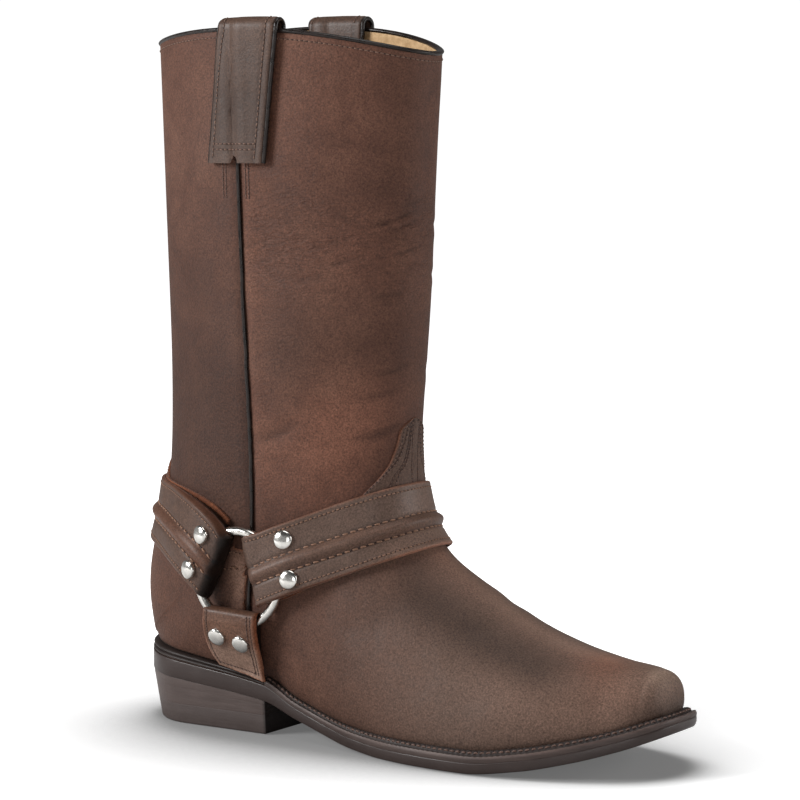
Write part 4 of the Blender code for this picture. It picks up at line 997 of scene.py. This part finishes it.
by_edge = np.array([0, 0.2, 0.6, 1.2, 2.0, 3.0])
columns = np.concatenate([by_edge - PULL_HALF, np.linspace(-12.2, -4.2, 7), np.linspace(-3.6, 3.6, 19),
                          np.linspace(4.2, 12.2, 7), PULL_HALF - by_edge[::-1]])
for side, word in SIDES:
    loop_top = PULL_TOP[side]
    base = []
    outs = []
    for column in columns:
        notch = 3.6 * math.sqrt(max(0.0, 1 - (column / 3.0) ** 2))
        hits = [pull_spot(column, z, side) for z in np.linspace(PULL_BOTTOM + notch, loop_top, PULL_ROWS)]
        spot, out = pull_spot(column, loop_top, side)
        for turn in np.radians(np.linspace(15, 165, LOOP_ROWS)):
            heading = out * math.cos(turn) + np.array((0, 0, math.sin(turn)))
            hits.append((spot - out * WALL / 2 + heading * WALL / 2, heading))
        for z in np.linspace(loop_top, PULL_INSIDE, 12):
            spot, out = pull_spot(column, z, side)
            hits.append((spot - out * WALL, -out))
        line, ups = landed(hits)
        base.append(line)
        outs.append(ups)
    base = np.stack(base, axis=1)
    outs = unit(softened(np.stack(outs, axis=1), 1))
    stitch_dip = 0.25 * sum(bell(columns, seam, 0.8) for seam in PULL_SEAMS)
    belly = 0.35 * np.cos(columns / PULL_HALF * math.pi / 2)
    height = PULL_LIFT + PULL_THICKNESS * (0.5 + 0.5 * quarter_round((PULL_HALF - np.abs(columns)) / 1.2))
    top_grid = base + outs * (height - stitch_dip + belly)[:, None]
    # darker across the middle, and painted shade along the sunk seams
    darker_middle = 0.3 * bell(base[..., 2], 312, 18)
    marks = {"cool": np.full(darker_middle.shape, 0.3), "shade": darker_middle + 1.2 * stitch_dip}
    thick_sheet("pull_strap_leather_" + word, top_grid, base + outs * PULL_LIFT, grid_faces(*darker_middle.shape),
                [strap_leather, raw_edge], marks, edge=1, crease=60, slot="strap_leather",
                stands_for=["pull_strap_" + word])
    for end, inner, name, cord in ((0, 1, "back", 0.7), (-1, -2, "front", 1.1)):
        line = base[:, end] + outs[:, end] * (PULL_LIFT + PULL_THICKNESS * 0.42)
        outwards = unit(base[:, end] - base[:, inner])
        tube("pull_strap_cord_%s_%s" % (name, word), line + outwards * (cord - 0.5), outs[:, end], cord)
    seams = []
    for seam in PULL_SEAMS:
        line, up = grid_row(top_grid, outs, columns, np.full(len(base), seam))
        seams.append((line[1:PULL_ROWS + LOOP_ROWS], up[1:PULL_ROWS + LOOP_ROWS]))
    for above, reach in ((6.6, 11.6), (9.4, 12.6)):
        foot = base[0, :, 2]
        row = np.clip((above - (foot - PULL_BOTTOM)) / (loop_top - foot), 0, 1) * (PULL_ROWS - 1)
        line = np.array([picked(np.arange(PULL_ROWS), top_grid[:PULL_ROWS, k], [r])[0] for k, r in enumerate(row)])
        keep = (columns > -12.6) & (columns < reach)
        seams.append((line[keep], outs[5][keep]))
    sew("pull_strap_stitches_" + word, seams, length=1.9, gap=0.75, radius=0.34, finish=seam_thread,
        slot="strap_leather")
    tails = [landed([on_side(seam_place(z) + offset, z, side) for z in np.linspace(268, 284.5, 12)])
             for offset in (-9.6, -7.6, 4.4, 6.4)]
    sew("pull_strap_tail_stitches_" + word, tails, length=1.5, gap=0.6, radius=0.3, finish=dark_thread)

# The rings: steel wire bent round, welded, polished and nickel-plated. Three straps hold each ring a little off
# the upper at the ankle.
RING_X, RING_Z, RING_RADIUS, WIRE, RING_LIFT = 79.0, 80.0, 23.5, 2.4, 6.2
nickel, tree, shader, where = new_finish("polished_nickel")
rub = noise_of(tree, where, 500.0, 4.0, 0.6)
wire(tree, shader, {"Base Color": ramp_of(tree, rub, [(0.3, (0.62, 0.6, 0.56)), (0.7, (0.8, 0.78, 0.74))]),
                    "Roughness": ranged(tree, rub, 0.3, 0.7, 0.12, 0.26), "Metallic": 1.0,
                    "Normal": bump_of(tree, rub, 0.08, 0.0004)})


def spokes(axis, count):
    """Directions evenly round an axis."""
    first = unit(np.cross(axis, (0, 0, 1)))
    turn = np.linspace(0, 2 * math.pi, count, endpoint=False)[:, None]
    return first * np.cos(turn) + np.cross(axis, first) * np.sin(turn)


roll = np.linspace(0, 2 * math.pi, 16, endpoint=False)[:, None]
for side, word in SIDES:
    spot, axis = on_side(RING_X, RING_Z, side)
    axis = unit(axis * np.array([0.3, 1.0, 1.0]))
    rows = spot + axis * (RING_LIFT + WIRE * np.sin(roll)) + spokes(axis, 96)[:, None] * (
        RING_RADIUS + WIRE * np.cos(roll))
    piece("harness_ring_" + word, rows, grid_faces(*rows.shape[:2], wrap_rows=True, wrap_columns=True), [nickel],
          slot="nickel", stands_for=["ring_" + word])

# The long straps: strap leather with a bead stitched up along it, folded round both rings and riveted to itself,
# with a raw-edged backing strip behind. One runs over the instep and one round the back of the heel.
STRAP_LIFT, STRAP_FLAT = 1.7, 2.2
BEAD_HALF, BEAD_HEIGHT, EDGE_SEAM = 4.0, 2.2, 3.0
# ahead: which way it leads from the rings; low and high: each edge's place, height and slope at the side; bow: how
# far each edge swings up on its way; folded, ramp, height: length folded thick, length of the ramp, height there;
# bead: share of the width where the bead runs; fold shade: painted shade at the fold and its reach; backing: how
# much lower the backing hangs by the ring, and where it ends above
LONG_STRAPS = {
    "front_strap": dict(ahead=1, low=(91.0, 66.5, 0.392), high=(83.2, 101.0, 0.39), bow=(0.0, 0.0), folded=13.0,
                        ramp=38.0, height=8.8, bead=0.425, fold_shade=(0.3, 3.0), backing=(0.06, 0.985)),
    "rear_strap": dict(ahead=-1, low=(62.5, 69.0, -0.41), high=(77.0, 100.0, -0.37), bow=(6.3, 9.0), folded=10.0,
                       ramp=46.0, height=13.0, bead=0.462, fold_shade=(0.97, 4.5), backing=(0.0, 1.035))}
EDGE_SHARES = np.array([0, 0.008, 0.02, 0.035, 0.055])
SHARES = np.concatenate([EDGE_SHARES, np.linspace(0.08, 0.92, 37), 1 - EDGE_SHARES[::-1]])


def strap_walk(plan, share, turn):
    """Where a strap lies on the upper, at a share of its width and a turn from straight ahead."""
    low = np.array(plan["low"])
    x, z, slope = low + share * (np.array(plan["high"]) - low)
    sideways = abs(turn) / (math.pi / 2)
    low_bow, high_bow = plan["bow"]
    z += (low_bow + share * (high_bow - low_bow)) * 6.75 * sideways**2 * (1 - sideways)
    forwards = plan["ahead"] * math.cos(turn)
    heading = Vector((forwards, math.sin(turn), slope * forwards)).normalized()
    return SKIN.ray_cast(Vector((x, 0, z)), heading)[:2]


def strap_grid(plan, turns, shares, evening):
    """Spots of a strap on the upper and its outward directions, one row of shares for each turn."""
    rows = [landed([strap_walk(plan, s, float(t)) for s in row]) for t, row in zip(turns, shares)]
    spots, outs = landed(rows)
    return softened(spots, 1), unit(softened(outs, evening))


def smooth_share(value):
    value = np.clip(value, 0, 1)
    return value * value * (3 - 2 * value)


def folded_strap(name, top_grid, low_grid, nose, marks, end_closed=False, **settings):
    """A folded strap in closed sections: the outer layer with its cut edges, and the rest drawn in under it."""
    ends = []
    for end, inner in ((-1, -7), (0, 6)):
        edge = top_grid[:, end]
        down = low_grid[:, end] - edge
        deep = np.linalg.norm(down, axis=1, keepdims=True)
        inwards = unit(top_grid[:, inner] - edge) * 1.5 * nose
        layer = edge + down * np.minimum(1, 1.9 / np.maximum(deep, 1e-6))
        ends.append(np.stack([layer, layer + inwards, low_grid[:, end] + inwards], axis=1))
    rows = np.concatenate([top_grid, ends[0], low_grid[:, 6:-6][:, ::-1], ends[1][:, ::-1]], axis=1)
    columns = rows.shape[1]
    last = top_grid.shape[1] - 1
    faces = grid_faces(len(rows), columns, wrap_columns=True)
    kinds = [int(f[0] % columns in (last, last + 1, columns - 2, columns - 1)) for f in faces]
    if end_closed:
        faces.append(end_faces(len(rows), columns)[1])
        kinds.append(1)
    spread = {}
    for mark, values in marks.items():
        # the hidden sides and the recess under the outer layer are painted nearly black as shade
        rest = np.full((len(rows), columns - values.shape[1]), 0.93 if mark == "shade" else 0.0)
        rest[:, 0] = rest[:, -1] = values[:, 0] * 0.5
        spread[mark] = np.concatenate([values, rest], axis=1)
    piece(name, rows, faces, [strap_leather, raw_edge], kinds, spread, slot="strap_leather", **settings)


strap_tops = {}
near = np.array([0, 0.12, 0.35, 0.7, 1.15, 1.7, 2.35, 3.1])
for name, plan in LONG_STRAPS.items():
    turns = np.radians(np.linspace(-90, 90, 241))
    walked = run_of(np.array([strap_walk(plan, 0.5, t)[0] for t in turns]))
    total = walked[-1]
    places = np.concatenate([near, np.linspace(4.0, total - 4.0, 190), total - near[::-1]])
    spots, outs = strap_grid(plan, np.interp(places, walked, turns), [SHARES] * len(places), 6)
    from_fold = np.minimum(places, total - places)[:, None]
    width = np.linalg.norm(spots[:, -1] - spots[:, 0], axis=1)[:, None]
    folded = 1 - smooth_share((from_fold - plan["folded"]) / plan["ramp"])
    body = STRAP_FLAT + folded * (plan["height"] - STRAP_FLAT)
    to_edge = np.minimum(SHARES, 1 - SHARES) * width
    to_bead = np.abs(SHARES - plan["bead"]) * width
    bead = (BEAD_HEIGHT - 0.7 * folded) * (0.5 + 0.5 * np.cos(np.pi * np.clip(to_bead / BEAD_HALF, 0, 1))) ** 0.7
    sunk = 0.6 * bell(to_bead, BEAD_HALF + 0.3, 0.9) + 0.25 * bell(to_edge, EDGE_SEAM, 0.8)
    waviness = 0.3 * np.sin(places / 19.0)[:, None] * np.sin(SHARES * 5) * np.clip(to_edge / 4, 0, 1)
    height = body * (0.6 + 0.4 * quarter_round(to_edge)) + bead - sunk + waviness
    nose = quarter_round(from_fold / 3.8)
    core = body * 0.5
    top_grid = spots + outs * (STRAP_LIFT + core + (height - core) * nose)[..., None]
    low_grid = spots + outs * (STRAP_LIFT + core - core * nose)[..., None]
    strap_tops[name] = surface_of(top_grid)
    at_fold, fold_reach = plan["fold_shade"]
    instep = smooth_share((spots[..., 0] - 70) / 30)
    front_end_highlight = smooth_share((spots[..., 0] - 146) / 14)
    # marks: painted shade at the fold and in the grooves beside the bead, redder bead and cut edges, greyer and
    # paler towards the instep, and a painted highlight on the front strap's front end
    marks = {
        "shade": np.clip(at_fold * bell(from_fold, 0, fold_reach)
                         + 0.4 * bell(to_bead, BEAD_HALF + 0.3, 0.8), 0, 1),
        "rust": (0.14 - 0.1 * instep) * (to_bead < BEAD_HALF) + 0.28 * bell(to_edge, 0, 0.8),
        "cool": 0.15 * (to_bead > BEAD_HALF + 0.6) + 0.45 * instep,
        "pale": 0.38 * instep + 0.62 * front_end_highlight * (to_bead > BEAD_HALF)}
    folded_strap(name + "_leather", top_grid, low_grid, nose, marks, stands_for=[name])
    bead_seam = (BEAD_HALF + 0.3) / width[:, 0]
    edge_seam = EDGE_SEAM / width[:, 0]
    seams = []
    for wanted in (plan["bead"] - bead_seam, plan["bead"] + bead_seam, edge_seam, 1 - edge_seam):
        line, up = grid_row(top_grid, outs, SHARES, wanted)
        seams.append((line[7:-7], up[7:-7]))
    sew(name + "_bead_stitches", seams[:2], length=3.1, gap=1.0, radius=0.48, finish=tan_thread, slant=0.3,
        slot="strap_leather")
    sew(name + "_edge_stitches", seams[2:], length=1.7, gap=0.7, radius=0.32, finish=tan_thread,
        slot="strap_leather")
    places = np.linspace(9.0, total - 9.0, 110)
    lower_by, high_end = plan["backing"]
    low_end = 0.03 - lower_by * bell(np.minimum(places, total - places), 14, 16)
    shares = [np.linspace(low, high_end, 16) for low in low_end]
    spots, outs = strap_grid(plan, np.interp(places, walked, turns), shares, 4)
    thick_sheet(name + "_backing", spots + outs * 1.9, spots + outs * 0.5, grid_faces(*spots.shape[:2]),
                [raw_edge], slot="strap_leather", crease=60)

# The lower straps: short tabs of the same strap leather, folded round each ring, riveted and sewn, and run down
# over the rand to the edge of the sole.
ROW_STEP, TAB_WIDTH, TAB_TOP, TAB_OUTSIDE = 9.4, 31.0, 65.5, 49.9
# height at the back and front edge, place of the back and front edge
LOWER_ROWS = [(65.5, 64.0, 57.6, 89.0), (57.0, 56.0, 56.6, 88.6), (48.0, 47.0, 56.6, 88.6),
              (41.0, 37.0, 58.6, 89.2), (34.0, 28.0, 63.0, 91.0)]
lower_line = fair_line(LOWER_ROWS)
down = np.concatenate([[0, 0.012, 0.035, 0.07, 0.12, 0.18, 0.25, 0.33], np.linspace(0.42, 3.88, 44),
                       [3.94, 3.98, 4.0]])
across = np.concatenate([EDGE_SHARES, np.linspace(0.08, 0.92, 25), 1 - EDGE_SHARES[::-1]])
from_fold = (down * ROW_STEP)[:, None]
from_foot = ((down[-1] - down) * ROW_STEP)[:, None]
to_edge = np.minimum(np.minimum(across, 1 - across) * TAB_WIDTH, from_foot)
nose = quarter_round(from_fold / 3.4)
for side, word in SIDES:
    inner_grid = np.zeros((len(down), len(across), 3))
    body = np.zeros((len(down), len(across)))
    for i, v in enumerate(down):
        z_back, z_front, x_back, x_front = lower_line(v)
        for j, u in enumerate(across):
            x = x_back + u * (x_front - x_back)
            z = z_back + u * (z_front - z_back)
            spot, _ = on_side(x, max(z, 40.0), side)
            y = max(39.2 - 3.2 * (TAB_TOP - z) / 37.5, abs(spot[1]) + 2.6)
            over_ring = min(max((z - 33.0) / 25.0, 0.0), 1.0)
            body[i, j] = STRAP_FLAT + over_ring * (TAB_OUTSIDE - y - STRAP_FLAT)
            inner_grid[i, j] = (x + 0.5 * (body[i, j] - STRAP_FLAT), side * y, z)
    inner_grid[..., 1] = softened(inner_grid[..., 1], 3)
    round_edge = STRAP_FLAT * (0.55 + 0.45 * quarter_round(to_edge))
    height = body - STRAP_FLAT + round_edge - 0.22 * bell(to_edge, 2.6, 0.8)
    core = body * 0.5
    sideways = np.array([0.0, side, 0.0])
    top_grid = inner_grid + sideways * (core + (height - core) * nose)[..., None]
    low_grid = inner_grid + sideways * (core - core * nose)[..., None]
    strap_tops["lower_strap_" + word] = surface_of(top_grid)
    # painted shade at the fold; the tab is painted paler where it faces the light, and paler, greyer and lighter
    # still towards its foot as painted sheen
    lower_painted_sheen = smooth_share((50.0 - inner_grid[..., 2]) / 8.0)
    marks = {"shade": np.broadcast_to(0.35 * bell(from_fold, 0, 5.0), body.shape), "cool": 0.6 * lower_painted_sheen,
             "rust": 0.4 * bell(to_edge, 0, 0.8) + 0.04, "pale": 0.55 + 0.45 * lower_painted_sheen, "scuff_and_painted_light": 0.06 * lower_painted_sheen}
    folded_strap("lower_strap_leather_" + word, top_grid, low_grid, nose, marks, end_closed=True, crease=70,
                 stands_for=["lower_strap_" + word])
    outs = np.tile(sideways, (len(down), len(across), 1))
    seams = []
    for share in (2.6 / TAB_WIDTH, 1 - 2.2 / TAB_WIDTH, 1 - 4.2 / TAB_WIDTH):
        line, up = grid_row(top_grid, outs, across, np.full(len(down), share))
        seams.append((line[6:-5], up[6:-5]))
    keep = (across > 0.1) & (across < 0.86)
    seams.append((top_grid[-7][keep], outs[-7][keep]))
    sew("lower_strap_stitches_" + word, seams, length=1.5, gap=0.65, radius=0.3, finish=dark_thread,
        slot="strap_leather")

# The rivets: domed nickel-plated heads, two at each fold, hammered down so hard that their edge sinks into the
# leather. They hold each strap's folded end round its ring.
RIVET_RADIUS, RIVET_HEIGHT = 4.85, 2.7
# place and height of each head, seen from the side
RIVETS = {"front": ((107.5, 101.5), (112.0, 82.5)), "rear": ((63.0, 101.5), (55.0, 83.5)),
          "lower": ((68.0, 50.0), (81.8, 47.4))}
REAR_TILT = np.array([-0.2, 0.0, 0.0])
# share of the radius and of the height up the dome
DOME = [(0.98, -0.5), (1.0, 0.05), (0.985, 0.3)] + [
    (math.cos(t), 0.3 + 0.7 * math.sin(t)) for t in np.linspace(0.25, math.pi / 2 - 0.001, 9)]


def pinned(surface, x, z, side):
    """Where a pin pushed straight in from one side meets a strap, and its outward direction there."""
    return surface.ray_cast(Vector((x, side * 300.0, z)), Vector((0, -side, 0)))[:2]


for side, word in SIDES:
    for strap, spots in RIVETS.items():
        surface = strap_tops["lower_strap_" + word if strap == "lower" else strap + "_strap"]
        for number, (x, z) in enumerate(spots, 1):
            centre, out = pinned(surface, x, z, side)
            around = [pinned(surface, x + 4 * math.cos(t), z + 4 * math.sin(t), side)[0]
                      for t in np.linspace(0, 2 * math.pi, 8, endpoint=False)]
            axis = np.array(out)
            if None not in around:
                axis = unit(np.cross(around[2] - around[6], around[0] - around[4]))
            axis = axis * np.sign(axis[1] * side)
            if strap == "rear":
                axis = unit(axis + REAR_TILT)
            centre = np.array(centre) - axis * 0.25
            out = spokes(axis, 32)
            rows = np.stack([centre + out * RIVET_RADIUS * r + axis * RIVET_HEIGHT * h for r, h in DOME])
            faces = grid_faces(*rows.shape[:2], wrap_columns=True) + end_faces(*rows.shape[:2])
            label = "%s_%s_%d" % (strap, word, number)
            piece("rivet_head_" + label, rows, faces, [nickel], slot="nickel", stands_for=["rivet_" + label])

# The studio: a pale round floor that glows further out like a lit sweep and has a painted contact shadow near the
# boot,
# a dim white room, and four soft boxes: one above, one at the left, a weak one in front and one from behind at the
# right.
FLOOR_RADIUS, FLOOR_LEVEL = 9.0, -0.0003
floor_finish, tree, shader, where = new_finish("pale_studio_floor")
paint = ramp_of(tree, noise_of(tree, where, 3.0, 3.0), [(0.3, (0.88, 0.88, 0.88)), (0.7, (0.9, 0.9, 0.9))])
near = add_node(tree, "TexGradient", {"Vector": where}, gradient_type="SPHERICAL").outputs["Fac"]
closeness = add_node(tree, "AmbientOcclusion", {"Distance": 0.25}, samples=24).outputs["AO"]
# painted contact shadow: the floor's colour and glow darken where the boot is near
painted_contact_shadow = ranged(tree, closeness, 0.55, 0.99, 0.2, 1.0)
seen = add_node(tree, "LightPath").outputs["Is Camera Ray"]
glow = times(tree, ranged(tree, near, 0.5, 0.8, 1.0, 0.6), seen)
wire(tree, shader, {"Base Color": tinted(tree, paint, painted_contact_shadow), "Roughness": 0.9,
                    "Emission Color": (1, 1, 1, 1), "Emission Strength": times(tree, glow, painted_contact_shadow)})
turn = np.linspace(0, 2 * math.pi, 64, endpoint=False)
floor_mesh = bpy.data.meshes.new("studio_floor")
floor_mesh.from_pydata([(FLOOR_RADIUS * math.cos(t), FLOOR_RADIUS * math.sin(t), FLOOR_LEVEL) for t in turn], [],
                       [list(range(64))])
floor_mesh.materials.append(floor_finish)
studio_floor = bpy.data.objects.new("studio_floor", floor_mesh)
bpy.context.scene.collection.objects.link(studio_floor)

world = bpy.data.worlds.new("studio")
world.use_nodes = True
tree = world.node_tree
seen = add_node(tree, "LightPath").outputs["Is Camera Ray"]
heading = add_node(tree, "SeparateXYZ", {"Vector": add_node(tree, "TexCoord").outputs["Generated"]}).outputs["Z"]
ceiling = ranged(tree, heading, 0.0, 0.6, 0.4, 0.06)
wire(tree, tree.nodes["Background"], {"Color": (1, 1, 1, 1), "Strength": halfway(tree, seen, ceiling, 1.05)})
bpy.context.scene.world = world


def softbox(name, spot, aim, size, power):
    light = bpy.data.lights.new(name, "AREA")
    light.shape = "RECTANGLE"
    light.size, light.size_y = size
    light.energy = power
    lamp = bpy.data.objects.new(name, light)
    lamp.location = spot
    lamp.rotation_euler = (Vector(aim) - Vector(spot)).to_track_quat("-Z", "Y").to_euler()
    bpy.context.scene.collection.objects.link(lamp)


softbox("top_light", spot=(0.12, 0.0, 1.9), aim=(0.02, 0, 0.12), size=(1.3, 1.1), power=13)
softbox("left_light", spot=(-1.3, -1.4, 1.0), aim=(-0.03, 0, 0.15), size=(0.8, 0.8), power=48)
softbox("front_light", spot=(1.0, -1.5, 0.4), aim=(0.0, 0, 0.12), size=(0.6, 0.6), power=4.5)
softbox("rim_light", spot=(1.3, 0.6, 0.5), aim=(0.05, 0, 0.1), size=(0.9, 0.7), power=10)

# The camera: at the photo's viewing angle, out in front of the toe on the boot's outer side and a little above it.
# Its focal length is given in pixels of the photo, which is 800 wide.
FOCAL_PIXELS, PHOTO_WIDTH, SENSOR_WIDTH = 2851, 800, 36.0
eye = (np.array([908.5, -1174.1, 297.0]) - LAST_ORIGIN) * 0.001
aim = (np.array([146.0, 0.0, 168.6]) - LAST_ORIGIN) * 0.001
camera_data = bpy.data.cameras.new("photo_camera")
camera_data.sensor_width = SENSOR_WIDTH
camera_data.lens = FOCAL_PIXELS / PHOTO_WIDTH * SENSOR_WIDTH
photo_camera = bpy.data.objects.new("photo_camera", camera_data)
photo_camera.location = eye
photo_camera.rotation_euler = Vector(aim - eye).to_track_quat("-Z", "Y").to_euler()
bpy.context.scene.collection.objects.link(photo_camera)
bpy.context.scene.camera = photo_camera
bpy.context.scene.view_settings.view_transform = "Standard"
bpy.context.scene.cycles.use_denoising = True
